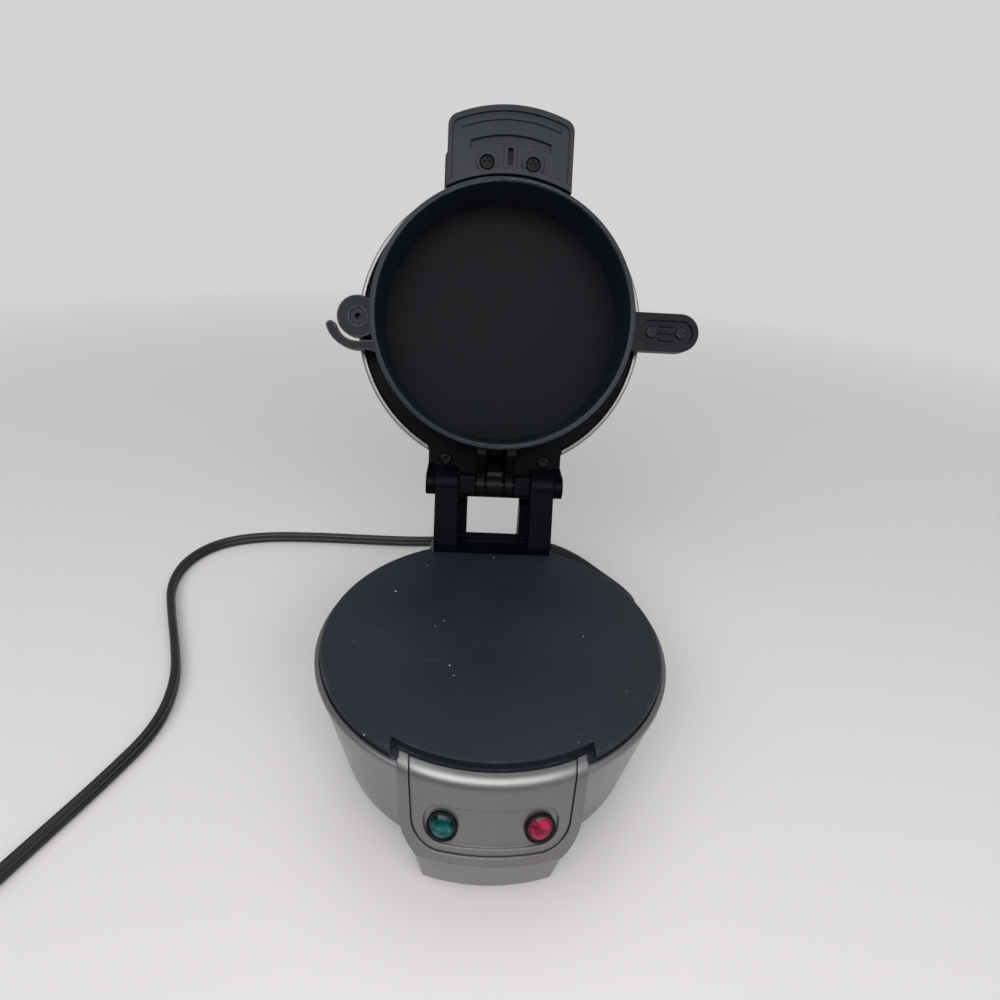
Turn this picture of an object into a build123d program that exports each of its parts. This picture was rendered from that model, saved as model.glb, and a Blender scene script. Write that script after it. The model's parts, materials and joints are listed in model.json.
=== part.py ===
from build123d import *
import os
from math import asin, cos, degrees, hypot, pi, radians, sin, tan

# A countertop sandwich cooker with a hinged lid, standing open. Millimetres, +Z up.
# +Y points to the hinge. The origin is on the table, under the middle of the lower plate.
# The lid and both rings are drawn closed, as they stack, and then turned open.

# Base
foot_height = 3.0
plate_top = 52.0  # cooking surface above the table
plate_r = 63.5
plate_t = 4.0
plate_skirt = 6.0  # from the cooking surface to the foot of the plate's skirt
skirt_wall = 2.9
step_r = plate_r - 4.3  # the plate steps down outside this radius over the console
step_half = 31.5
step_drop = 3.2
front_edge_r = plate_r - 1.9  # the plate is drawn in to this radius behind the console
front_edge_half = 29.0
rim_r = plate_r + 2.1
rim_drop = 4.4  # from the cooking surface to the widest line of the rolled rim
bowl_top_r = rim_r - 0.6
bowl_foot_r = bowl_top_r - 8.5
wall = 2.2
fit_gap = 0.35  # between fixed parts that drop into each other
slip_gap = 0.6  # between parts that swing past each other
screw_gap = 0.1

# Front console
visor_top = plate_top - 0.2
shoulder_r = plate_r + 1.4
visor_slope = 18.0  # lean of the console's face, in degrees
visor_shoulder_r = 7.0
visor_lip_z = 24.0
visor_foot_z = 21.5
visor_half_top = 29.4
visor_half_foot = 27.2
panel_sink = 0.5
panel_t = 1.6
panel_half_top = 25.9
panel_half_foot = 23.4
panel_foot_z = 27.2
panel_corner = 8.5
strip_depth = 0.8
lens_r = 4.5
lens_x = 14.75
lens_z = 34.8
lens_proud = 1.7
nose_half = 27.0
nose_corner = 15.0
nose_reach = shoulder_r + 7.7
nose_foot_r = shoulder_r + 2.7

# Hinge
hinge_y = plate_r + 8.1
hinge_rise = 25.9  # hinge line above the cooking surface
open_angle = 112.0
pin_r = 2.5
pin_fixed_gap = 0.02
pin_run_gap = 0.05
barrel_r = 8.0
post_in = 16.5
post_out = 26.5
post_front = hinge_y - 17.6
bracket_drop = 8.0  # from the cooking surface to the bracket's seat
ear_t = 3.9
ear_r = 5.2
ear_end = 0.7  # closed end of an ear outside the pin
rib_in = 12.0
web_rise = 3.0  # from the cooking surface to the top of the bracket's web
knuckle_r = 5.6

# Rear block under the hinge
block_half = 29.0
block_back = hinge_y + 7.9
block_foot = 2.4

# Rings, heights above the cooking surface when closed
ring_bore_r = 50.8
ring_wall = 2.1
ring_flare = 1.5
ring_foot = 0.5
ring_h = 24.5
stack_gap = 0.3
cook_r = ring_bore_r + 2.7
cook_t = 2.7
top_ring_bore_r = ring_bore_r - 0.2
top_ring_wall = 1.8
top_ring_h = 17.7

# Pivot of the cooking plate
pivot_x = -cook_r - 9.0
pivot_boss_r = 9.0
pivot_pin_r = 2.4
guard_in_r = 10.5
guard_out_r = 14.4
lug_h = 5.0

# Front lug of the bottom ring, which its handle is screwed to
lug_half = 13.0
lug_tip = ring_bore_r + 14.2
lug_t = 2.5
lug_z = 2.5
ring_screw_x = (-9.2, 9.2)
ring_screw_y = ring_bore_r + 8.2

# Lid
lid_foot = 35.0  # height of the collar's lower face above the cooking surface
collar_t = 3.5
collar_in_r = top_ring_bore_r + top_ring_wall + 2.8
collar_out_r = collar_in_r + 7.8
upstand_t = 2.2
lid_wall = 2.0
lid_r = collar_out_r + lid_wall + 0.4
lid_h = 34.5
tongue_half = 31.0
tongue_back = hinge_y + 6.7
tongue_t = 5.0
upper_plate_r = top_ring_bore_r - 0.8
upper_plate_t = 5.0
flange_r = collar_in_r + 5.8
flange_t = 2.0

# Handles
grip_half = 25.0
grip_tip = ring_bore_r + 30.2
grip_tip_r = 57.0
grip_h = 8.0
grip_corner = 5.0
lid_grip_half = 28.0
lid_grip_tip = collar_out_r + 21.0
lid_grip_h = 8.0
side_grip_in = cook_r + 3.0
side_grip_tip = side_grip_in + 31.5
side_grip_half = 8.3

# Heaters
heater_r = 3.1
lower_heater_ring = plate_r - 21.5
upper_heater_ring = upper_plate_r - 13.8
heater_turn = 300.0
shield_t = 0.8
stud_r = 2.2

# Cord
cord_d = 6.0
cord_z = 3.1
boot_y = 62.0
boot_z = 12.0
boot_tip = 48.5
coil_r = 38.0
coil_step = 3.4
coil_hook_r = 18.0
coil_hook_turn = 120.0
plug_len = 19.0
plug_w = 12.0
blade_len = 15.9
blade_w = 6.3
blade_t = 1.5
blade_pitch = 12.7


# Heights worked out from the sizes above
def up(height):
    """Height above the table of a level given above the cooking surface."""
    return plate_top + height


rim_z = plate_top - rim_drop
seat_z = plate_top - plate_skirt
hinge_z = up(hinge_rise)
bracket_z = plate_top - bracket_drop
ring_low = up(ring_foot)
ring_top = ring_low + ring_h
cook_low = ring_top + stack_gap
cook_top = cook_low + cook_t
top_ring_low = cook_top + stack_gap
top_ring_top = top_ring_low + top_ring_h
lid_low = up(lid_foot)
flange_z = top_ring_top + 0.8
upper_face_z = flange_z - upper_plate_t + flange_t
pin_reach = post_out + slip_gap + ear_t - ear_end - stack_gap
pin_line = Axis((0, hinge_y, hinge_z), (1, 0, 0))
tan_slope = tan(radians(visor_slope))
cos_slope = cos(radians(visor_slope))


# Ways of making solids
def turned(points, radii=0):
    """An outline of (radius, height) points, turned about Z."""
    line = FilletPolyline(*[(r, 0, z) for r, z in points], radius=radii, close=True)
    return revolve(make_face(line), Axis.Z)


def slab(points, z0, z1, radii=0, taper=0.0):
    """A plan outline of (x, y) points, raised from z0 to z1."""
    line = FilletPolyline(*[(x, y, z0) for x, y in points], radius=radii, close=True)
    return extrude(make_face(line), amount=abs(z1 - z0), dir=(0, 0, 1 if z1 > z0 else -1), taper=taper)


def front_slab(points, y0, y1, radii=0):
    """A front outline of (x, z) points, run from y0 to y1."""
    line = FilletPolyline(*[(x, y0, z) for x, z in points], radius=radii, close=True)
    return extrude(make_face(line), amount=y1 - y0, dir=(0, 1, 0))


def side_slab(points, x0, x1, radii=0):
    """A side outline of (y, z) points, run from x0 to x1."""
    line = FilletPolyline(*[(x0, y, z) for y, z in points], radius=radii, close=True)
    return extrude(make_face(line), amount=x1 - x0, dir=(1, 0, 0))


def block(x0, x1, y0, y1, z0, z1):
    """A plain block between two corners."""
    middle = Pos((x0 + x1) / 2, (y0 + y1) / 2, (z0 + z1) / 2)
    return middle * Box(x1 - x0, y1 - y0, z1 - z0)


def post(r, x, y, z0, z1):
    """An upright cylinder from z0 to z1."""
    return Pos(x, y, (z0 + z1) / 2) * Cylinder(r, z1 - z0)


def axle(r, x0, x1, y=hinge_y, z=hinge_z):
    """A cylinder along X from x0 to x1."""
    return Pos((x0 + x1) / 2, y, z) * Rot(0, 90, 0) * Cylinder(r, x1 - x0)


def both(maker):
    """The solids of a maker on the right side and on the left side."""
    return maker(1) + maker(-1)


def screw(x, y, z, length, head_r=2.8, head_h=1.5, shank_r=1.25, points_up=True):
    """A cross-head screw whose head rests on height z, its shank running up or down."""
    way = 1 if points_up else -1
    head = Pos(0, 0, -head_h / 2) * Cylinder(head_r, head_h)
    head = fillet(head.edges().sort_by(Axis.Z)[0], head_h * 0.5)
    shank = Pos(0, 0, length / 2) * Cylinder(shank_r, length)
    cut_w = head_r * 0.3
    cross = Pos(0, 0, -head_h) * (Box(head_r * 1.2, cut_w, head_h) + Box(cut_w, head_r * 1.2, head_h))
    body = head + shank - cross
    turn = Rot(0, 0, 0) if way > 0 else Rot(180, 0, 0)
    return Pos(x, y, z) * turn * body


def group(solids):
    """Several separate solids of one kind, as one node."""
    return Compound(children=[s for item in solids for s in item.solids()])


# Sizes of the base housing's wall
bowl_slope = (bowl_top_r - bowl_foot_r) / (rim_z - 2.0 - foot_height)


def bowl_r(z):
    """Outer radius of the bowl at a height."""
    return bowl_foot_r + bowl_slope * (z - foot_height)


def visor_r(z, inset=0.0):
    """Radius of the console's face at a height, moved inwards by inset."""
    return shoulder_r + (visor_top - z) * tan_slope - inset / cos_slope


def visor_turned(inset, low):
    """The console's body of revolution inside its face, from a low height up."""
    top = visor_top - inset
    points = [(50, low), (50, top), (visor_r(top, inset), top), (visor_r(low, inset), low)]
    return turned(points, [0, 0, max(visor_shoulder_r - inset, 0.4), 0])


cover_r = bowl_foot_r - 3.5
cover_t = 2.0
cover_z = foot_height + cover_t
boss_ring = 44.0
boss_h = 9.0
boss_spots = [(boss_ring, 0), (0, boss_ring), (-boss_ring, 0), (0, -boss_ring)]
front_foot_spots = [(33, -33), (-33, -33), (33, 30), (-33, 30), (0, 0)]
rear_foot_spots = [(20, block_back - 11.5), (-20, block_back - 11.5)]
bracket_screw_x = (post_in + post_out) / 2
bracket_screw_spots = [(bracket_screw_x, hinge_y - 5.6), (-bracket_screw_x, hinge_y - 5.6)]


def panel_outline(grow=0.0):
    """Front outline of the panel, grown all round, with its corner radii."""
    top = plate_top + 6
    low = panel_foot_z - grow
    half_top = panel_half_top + grow
    half_low = panel_half_foot + grow
    points = [(-half_top, top), (-half_low, low), (half_low, low), (half_top, top)]
    return points, [0, panel_corner + grow, panel_corner + grow, 0]


def on_console(x, z, inset):
    """Plane on the console's face at x and z, its normal pointing out of the face."""
    r = visor_r(z, inset)
    angle = asin(x / r)
    normal = (sin(angle) * cos_slope, -cos(angle) * cos_slope, tan_slope * cos_slope)
    return Plane(origin=(x, -r * cos(angle), z), z_dir=normal)


def plate_front(z0, z1, grow=0.0):
    """What is cut from the lower plate's round edge behind the console."""
    outside = post(plate_r + 5, 0, 0, z0, z1) - post(front_edge_r + grow, 0, 0, z0 - 1, z1 + 1)
    return outside & block(-front_edge_half + grow, front_edge_half - grow, -plate_r - 6, 0, z0, z1)


def plate_clearance(z0):
    """The space that the lower plate takes, with its gap."""
    return post(plate_r + fit_gap, 0, 0, z0, plate_top + 10) - plate_front(z0 - 1, plate_top + 11, fit_gap)


def base_housing():
    """Painted bowl with a hollow console in front and a hollow block under the hinge."""
    f = foot_height
    outer = turned(
        [(0, f), (bowl_foot_r, f), (bowl_top_r, rim_z - 2.0), (rim_r - 0.15, rim_z - 1.3), (rim_r, rim_z - 0.8),
         (rim_r, rim_z + 0.4), (rim_r - 0.25, rim_z + 0.95), (rim_r - 0.75, rim_z + 1.3), (0, rim_z + 1.3)],
        [0, 4, 0, 0, 0, 0, 0, 0, 0])
    ledge_r = cover_r - 2.5
    inner = turned(
        [(0, f - 1), (cover_r + fit_gap, f - 1), (cover_r + fit_gap, cover_z), (ledge_r, cover_z),
         (ledge_r, cover_z + 1.6), (bowl_r(cover_z + 6) - wall, cover_z + 6),
         (bowl_r(seat_z - 3.5) - wall, seat_z - 3.5), (plate_r - skirt_wall - 0.8, seat_z - 2),
         (plate_r - skirt_wall - 0.8, plate_top + 5), (0, plate_top + 5)])
    visor = visor_turned(0.0, visor_lip_z) + turned(
        [(50, visor_foot_z), (50, visor_lip_z), (visor_r(visor_lip_z), visor_lip_z),
         (visor_r(visor_lip_z) - 1.9, visor_foot_z)], [0, 0, 0, 0.6])
    visor_front = front_slab(
        [(-visor_half_top, plate_top + 4), (-visor_half_foot, visor_foot_z - 0.5),
         (visor_half_foot, visor_foot_z - 0.5), (visor_half_top, plate_top + 4)],
        -80, -45, [0, 15, 15, 0])
    visor = visor & visor_front
    nose_round = turned([(50, f), (nose_foot_r, f), (visor_r(visor_lip_z) - 1.9, visor_foot_z + 1),
                         (50, visor_foot_z + 1)], [0, 2.5, 0, 0])
    nose_plan = slab([(-nose_half, -30), (-nose_half, -nose_reach), (nose_half, -nose_reach), (nose_half, -30)],
                     visor_foot_z + 1, f, [0, nose_corner, nose_corner, 0], taper=12)
    nose = nose_round & nose_plan
    rear = slab([(-block_half, 40), (-block_half, block_back), (block_half, block_back), (block_half, 40)],
                f, bracket_z, [0, 6, 6, 0])
    body = outer + visor + nose + rear
    console_hollow = visor_turned(panel_sink + panel_t + 2.1, f + 16)
    console_hollow = console_hollow & block(-21, 21, -80, -50, f + 16, seat_z - 2.5)
    hollow = inner + console_hollow
    nose_hollow = turned([(50, f + block_foot), (nose_foot_r - 2.6, f + block_foot),
                          (visor_r(visor_lip_z) - 5, visor_foot_z), (50, visor_foot_z)])
    nose_keep = slab([(-nose_half + 2.6, -52), (-nose_half + 2.6, -nose_reach + 2.6),
                      (nose_half - 2.6, -nose_reach + 2.6), (nose_half - 2.6, -52)],
                     visor_foot_z, f + block_foot, [0, nose_corner - 2.6, nose_corner - 2.6, 0], taper=12)
    hollow = hollow + (nose_hollow & nose_keep)
    hollow = hollow + block(-block_half + wall, block_half - wall, cover_r + 1.5, block_back - wall,
                            f + block_foot, bracket_z - block_foot)
    body = body - hollow - plate_clearance(seat_z)
    body = body - block(-post_out - 0.8, post_out + 0.8, post_front - 0.3, block_back + 5, bracket_z, plate_top + 9)
    points, radii = panel_outline(fit_gap)
    recess = visor_turned(-2, visor_foot_z) - visor_turned(panel_sink + panel_t + screw_gap, visor_foot_z)
    body = body - (recess & front_slab(points, -85, -45, radii))
    for side in (1, -1):
        body = body - on_console(side * lens_x, lens_z, panel_sink) * Cylinder(lens_r + screw_gap, 16)
    for x, y in boss_spots:
        reach = hypot(x, y)
        boss = post(3.4, x, y, cover_z, cover_z + boss_h)
        rib = Rot(0, 0, degrees(asin(y / reach)) if x >= 0 else 180) * block(
            boss_ring, bowl_r(cover_z) - wall + 0.5, -1, 1, cover_z + 1.6, cover_z + boss_h - 1)
        body = body + (boss + rib - post(1.35, x, y, cover_z - 1, cover_z + boss_h - 1.2))
    for x, y in bracket_screw_spots:
        body = body - post(1.35, x, y, bracket_z - 6, bracket_z + 1)
    for x, y in rear_foot_spots:
        body = body - post(2.7, x, y, f - 1, f + 1.9)
    body = body - axle(4.7, block_half - 6, block_half + 3, boot_y, boot_z)
    return body


def front_panel():
    """Silver panel that follows the console's face, with a shallow strip round the lenses."""
    skin = visor_turned(panel_sink, visor_foot_z) - visor_turned(panel_sink + panel_t, visor_foot_z)
    points, radii = panel_outline()
    panel = skin & front_slab(points, -85, -45, radii)
    strip_half = lens_x + lens_r + 1.2
    strip = front_slab([(-strip_half, lens_z - 5.6), (-strip_half, lens_z + 6.4),
                        (strip_half, lens_z + 6.4), (strip_half, lens_z - 5.6)], -85, -45, 5.4)
    shallow = visor_turned(panel_sink - 2, visor_foot_z) - visor_turned(panel_sink + strip_depth, visor_foot_z)
    panel = panel - (shallow & strip) - plate_clearance(seat_z)
    for side in (1, -1):
        panel = panel - on_console(side * lens_x, lens_z, panel_sink) * Cylinder(lens_r + screw_gap, 16)
    return panel


def lens(side):
    """Faceted dome on a round stem, with a flange behind the console's wall."""
    stem_back = 5.0
    facets = 8
    stem = Pos(0, 0, (-stem_back + 0.2) / 2) * Cylinder(lens_r, stem_back + 0.2)
    dome = loft([Plane.XY.offset(0.2) * RegularPolygon(lens_r * 0.98, facets),
                 Plane.XY.offset(lens_proud) * RegularPolygon(lens_r * 0.55, facets)])
    flange = Pos(0, 0, -stem_back - 0.6) * Cylinder(lens_r + 1.2, 1.2)
    return on_console(side * lens_x, lens_z, panel_sink) * (stem + dome + flange)


def lamp(side):
    """Neon lamp behind a lens."""
    bulb = Pos(0, 0, -11) * Cylinder(2.3, 8.0)
    bulb = fillet(bulb.edges().sort_by(Axis.Z)[-1], 2.0)
    return on_console(side * lens_x, lens_z, panel_sink) * bulb


def bottom_cover():
    """Round floor plate, screwed up into the bowl."""
    cover = post(cover_r, 0, 0, foot_height, cover_z)
    for x, y in boss_spots:
        cover = cover - post(1.45, x, y, foot_height - 1, cover_z + 1)
        cover = cover - post(3.3, x, y, foot_height - 1, foot_height + 1.2)
    for x, y in front_foot_spots:
        cover = cover - post(2.7, x, y, foot_height - 1, cover_z + 1)
    for x in range(-16, 17, 8):
        for y in (-21, 21):
            cover = cover - block(x - 1.2, x + 1.2, y - 7, y + 7, foot_height - 1, cover_z + 1)
    return cover


def rubber_foot(x, y):
    """Tapered rubber foot with a short plug."""
    foot = turned([(0, 0), (6.0, 0), (7.0, foot_height), (0, foot_height)], [0, 0.6, 0, 0])
    return Pos(x, y, 0) * (foot + post(2.4, 0, 0, foot_height - 0.2, foot_height + 1.7))


def lower_heating_plate():
    """Cast plate with a skirt, notched behind for the hinge posts."""
    plate = turned(
        [(0, plate_top - plate_t), (plate_r - skirt_wall, plate_top - plate_t), (plate_r - skirt_wall, seat_z),
         (plate_r, seat_z), (plate_r, plate_top - 0.9), (plate_r - 0.25, plate_top - 0.35),
         (plate_r - 0.8, plate_top), (0, plate_top)])
    notch = block(-post_out - 0.8, post_out + 0.8, post_front - fit_gap, plate_r + 9, seat_z - 1, plate_top + 1)
    step = post(plate_r + 5, 0, 0, plate_top - step_drop, plate_top + 1)
    step = step - post(step_r, 0, 0, plate_top - 9, plate_top + 2)
    step = step & block(-step_half, step_half, -plate_r - 5, 0, plate_top - 9, plate_top + 2)
    return plate - notch - step - plate_front(seat_z - 1, plate_top + 1)


def heater(ring_r, z, tail):
    """Tubular heater: one open ring with its two ends turned away from the plate."""
    start = 90 + (360 - heater_turn) / 2
    circle = Plane(origin=(ring_r, 0, z), z_dir=(0, -1, 0)) * Circle(heater_r)
    ring = Rot(0, 0, start) * revolve(circle, Axis.Z, heater_turn)
    for x, y in heater_ends(ring_r):
        low, high = sorted((z, z + tail))
        ring = ring + post(heater_r * 0.98, x, y, low, high) + Pos(x, y, z) * Sphere(heater_r * 0.98)
        low, high = sorted((z + tail, z + tail * 1.5))
        ring = ring + post(1.2, x, y, low, high)
    return ring


lower_plate_under = plate_top - plate_t
lower_shield_z = 20.0
stud_spots = [(25 * cos(radians(a)), 25 * sin(radians(a))) for a in (90, 210, 330)]


def heater_ends(ring_r):
    """Plan positions of a heater's two ends."""
    start = 90 + (360 - heater_turn) / 2
    return [(ring_r * cos(radians(a)), ring_r * sin(radians(a))) for a in (start, start + heater_turn)]


def heat_shield(r, z, up_turned, holes=()):
    """Thin dished sheet with a turned edge, and a hole for each heater end that passes it."""
    edge_low, edge_high = (z, z + 5) if up_turned else (z - 5 + shield_t, z + shield_t)
    sheet = post(r, 0, 0, z, z + shield_t)
    edge = post(r, 0, 0, edge_low, edge_high) - post(r - shield_t, 0, 0, edge_low - 1, edge_high + 1)
    for x, y in holes:
        sheet = sheet - post(3.6, x, y, z - 1, z + 2)
    return sheet + edge


def thermostat():
    """Disc thermostat against the plate's underside, with two tabs."""
    x, y = 15.0, 10.0
    top = lower_plate_under
    body = post(8.5, x, y, top - 7.5, top)
    body = body + post(10.5, x, y, top - 1.2, top)
    body = body + block(x - 6.5, x - 3, y - 0.4, y + 0.4, top - 15, top - 7)
    return body + block(x + 3, x + 6.5, y - 0.4, y + 0.4, top - 15, top - 7)


def thermal_fuse():
    """Axial fuse with its leads, held under the plate by a clip."""
    z = lower_plate_under - 3.0
    y = 4.0
    body = axle(2.3, -26, -8, y, z) + axle(0.6, -36, 2, y, z)
    clip = block(-20, -14, y - 3.4, y + 3.4, z - 2.9, lower_plate_under)
    clip = clip - block(-21, -13, y - 2.4, y + 2.4, z - 2.2, lower_plate_under - 0.8)
    return body + clip


def terminal_block():
    """Ceramic block on the floor plate, where the supply leads end."""
    body = block(-12, 12, 22, 34, cover_z, cover_z + 9)
    for x in (-6, 6):
        body = body - post(2.2, x, 28, cover_z + 5, cover_z + 10)
        body = body - block(x - 2, x + 2, 21, 24, cover_z + 3, cover_z + 6)
    return body


def hinge_bracket():
    """Black bracket: a flange, a low web and two posts that carry the hinge pin."""
    a = radians(open_angle)
    back = (hinge_y + barrel_r * sin(a), hinge_z + barrel_r * cos(a))
    knee = (back[0] + 9 * cos(a), back[1] - 9 * sin(a))
    profile = [(post_front, bracket_z), (post_front, up(4.0)), (hinge_y - barrel_r * 0.95, hinge_z + 2.0),
               (hinge_y, hinge_z + 2.0), back, knee, (knee[0], bracket_z)]

    def upright(side):
        x0, x1 = sorted((side * post_in, side * post_out))
        body = side_slab(profile, x0, x1) + axle(barrel_r, x0, x1)
        rib_x = side * (post_in + post_out) / 2
        groove = side_slab([(post_front - 1, bracket_z + 3), (post_front - 1, up(2.0)), (post_front + 0.7, up(2.0)),
                            (post_front + 0.7, bracket_z + 3)], rib_x - 2.4, rib_x + 2.4)
        return body - groove

    def rib(side):
        x0, x1 = sorted((side * rib_in, side * (post_in + 0.5)))
        high = hinge_z - barrel_r
        return side_slab([(hinge_y - 10.6, bracket_z), (hinge_y - 5.1, high), (hinge_y + 2.9, high),
                          (hinge_y + 3.4, bracket_z)], x0, x1)

    bracket = both(upright) + both(rib)
    bracket = bracket + block(-post_in - 0.5, post_in + 0.5, hinge_y - 12.1, hinge_y - 4.6, bracket_z, up(web_rise))
    back_y = block_back - 0.9
    flange = [(-post_out, post_front), (-post_out, back_y), (post_out, back_y), (post_out, post_front)]
    bracket = bracket + slab(flange, bracket_z, bracket_z + 3, [0, 4, 4, 0])
    bracket = bracket - axle(pin_r + pin_fixed_gap, -40, 40)
    for x, y in bracket_screw_spots:
        bracket = bracket - post(1.35, x, y, bracket_z - 1, bracket_z + 13)
    return bracket


def hinge_pin():
    """Steel pin that ends inside the two ears."""
    return axle(pin_r, -pin_reach, pin_reach)


def strain_relief():
    """Tapered rubber boot through the right side of the rear block."""
    inside = axle(6.4, block_half - wall - 1.6, block_half - wall - 0.1, boot_y, boot_z)
    neck = axle(4.5, block_half - wall - 0.5, block_half + 0.5, boot_y, boot_z)
    start = Plane(origin=(block_half + 0.1, boot_y, boot_z), z_dir=(1, 0, 0))
    end = Plane(origin=(boot_tip, boot_y, boot_z), z_dir=(1, 0, 0))
    boot = loft([start * Circle(6.0), end * Circle(3.9)])
    for x in range(34, 48, 4):
        boot = boot - (axle(7, x, x + 1.4, boot_y, boot_z) - axle(3.6, x - 1, x + 3, boot_y, boot_z))
    return inside + neck + boot


# Route of the cord: out of the boot, round behind the base, to the left and forward
cord_route = [
    (boot_tip, boot_y, boot_z), (61.8, boot_y, boot_z), (73.4, 69.6, 8.2), (77.9, 82.9, 4.6), (73.2, 96.8, 3.2),
    (63.5, 110.5, cord_z), (53.5, 125.5, cord_z), (38.5, 138, cord_z), (16, 143.5, cord_z), (-12, 142, cord_z),
    (-43, 138, cord_z), (-76, 138.5, cord_z), (-108, 139, cord_z), (-136, 137, cord_z), (-157, 128, cord_z),
    (-167.5, 109, cord_z), (-166, 86, cord_z), (-156, 64, cord_z), (-144, 40, cord_z), (-134.5, 18, cord_z),
    (-131.5, -7, cord_z), (-140, -32, cord_z), (-150, -56, cord_z), (-159.5, -79, cord_z),
    (-166, -104, cord_z)]


def cord_radii(points):
    """Bend radius at each inner point: 0.45 of the shorter run over the half turn's tangent."""
    corners = [Vector(*p) for p in points]
    radii = []
    for before, here, after in zip(corners, corners[1:], corners[2:]):
        turn = (here - before).get_angle(after - here)
        shorter = min((here - before).length, (after - here).length)
        radii.append(0.45 * shorter / tan(radians(turn / 2)))
    return radii


def power_cord():
    """Free length of the supply cord, lying on the table."""
    radii = cord_radii(cord_route)
    path = FilletPolyline(*cord_route, radius=radii)
    section_plane = Plane(origin=path @ 0, z_dir=path % 0)
    cord = sweep(section_plane * Circle(cord_d / 2), path=path)
    expected = pi * cord_d ** 2 / 4 * path.length
    print("cord radii", [round(r, 1) for r in radii])
    print("cord length", round(path.length, 1), "volume over expected", round(cord.volume / expected, 4))
    return cord


def coil_path():
    """Flat coil: a turn that winds in, then a hook that brings the plug inside it."""
    start = Vector(*cord_route[-1])
    way = (start - Vector(*cord_route[-2])).normalized()
    first = Line(start, start + way * cord_d)
    turns = [(coil_r, 180), (coil_r - coil_step, 180), (coil_hook_r, coil_hook_turn)]
    pieces = [first]
    for r, angle in turns:
        last = pieces[-1]
        pieces.append(JernArc(start=last @ 1, tangent=last % 1, radius=r, arc_size=-angle))
    last = pieces[-1]
    pieces.append(Line(last @ 1, (last @ 1) + (last % 1) * cord_d))
    return Wire([e for piece in pieces for e in piece.edges()])


def least_gap(path, count=240):
    """Smallest gap of the coiled tube to itself, measured on points further apart than a bend."""
    points = [path @ (i / count) for i in range(count + 1)]
    step = path.length / count
    apart = int(coil_hook_r * 2 / step)
    pairs = [(i, j) for i in range(count + 1) for j in range(i + apart, count + 1)]
    return min((points[i] - points[j]).length for i, j in pairs) - cord_d


def cord_coil():
    """The put-away end of the cord, as one unbroken tube."""
    path = coil_path()
    section_plane = Plane(origin=path @ 0, z_dir=path % 0)
    print("coil length", round(path.length, 1), "least gap to itself", round(least_gap(path), 2))
    return sweep(section_plane * Circle(cord_d / 2), path=path)


def plug_frame():
    """Plane at the plug's back, its normal along the cord, its x axis level."""
    path = coil_path()
    return Plane(origin=path @ 1, z_dir=path % 1, x_dir=Vector(0, 0, 1))


def plug_body():
    """Moulded plug that stands on its edge, with a tapered neck."""
    height = cord_z * 2
    tall = 17.0
    lift = tall / 2 - cord_z
    neck = loft([Plane.XY * Circle(cord_d / 2),
                 Plane.XY.offset(4) * (Pos(lift * 0.6, 0) * RectangleRounded(height + 3, 8, 2.5))])
    body = Pos(lift, 0, 4 + (plug_len - 4) / 2) * Box(tall, plug_w, plug_len - 4)
    body = fillet(body.edges().filter_by(Axis.Z), 2.5)
    return plug_frame() * (neck + body)


def plug_blades():
    """The plug's two flat blades."""
    lift = 17.0 / 2 - cord_z
    frame = plug_frame()
    blades = []
    for side in (1, -1):
        blade = Pos(lift + side * blade_pitch / 2, 0, plug_len + blade_len / 2) * Box(blade_t, blade_w, blade_len)
        blades.append(frame * fillet(blade.edges().filter_by(Axis.X).sort_by(Axis.Z)[-2:], 1.5))
    return group(blades)


# The rings and the cooking plate, drawn closed
def finger(x0, x1, points):
    """Flat hinge finger from a ring's back to the pin."""
    return side_slab(points, x0, x1) + axle(knuckle_r, x0, x1)


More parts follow.
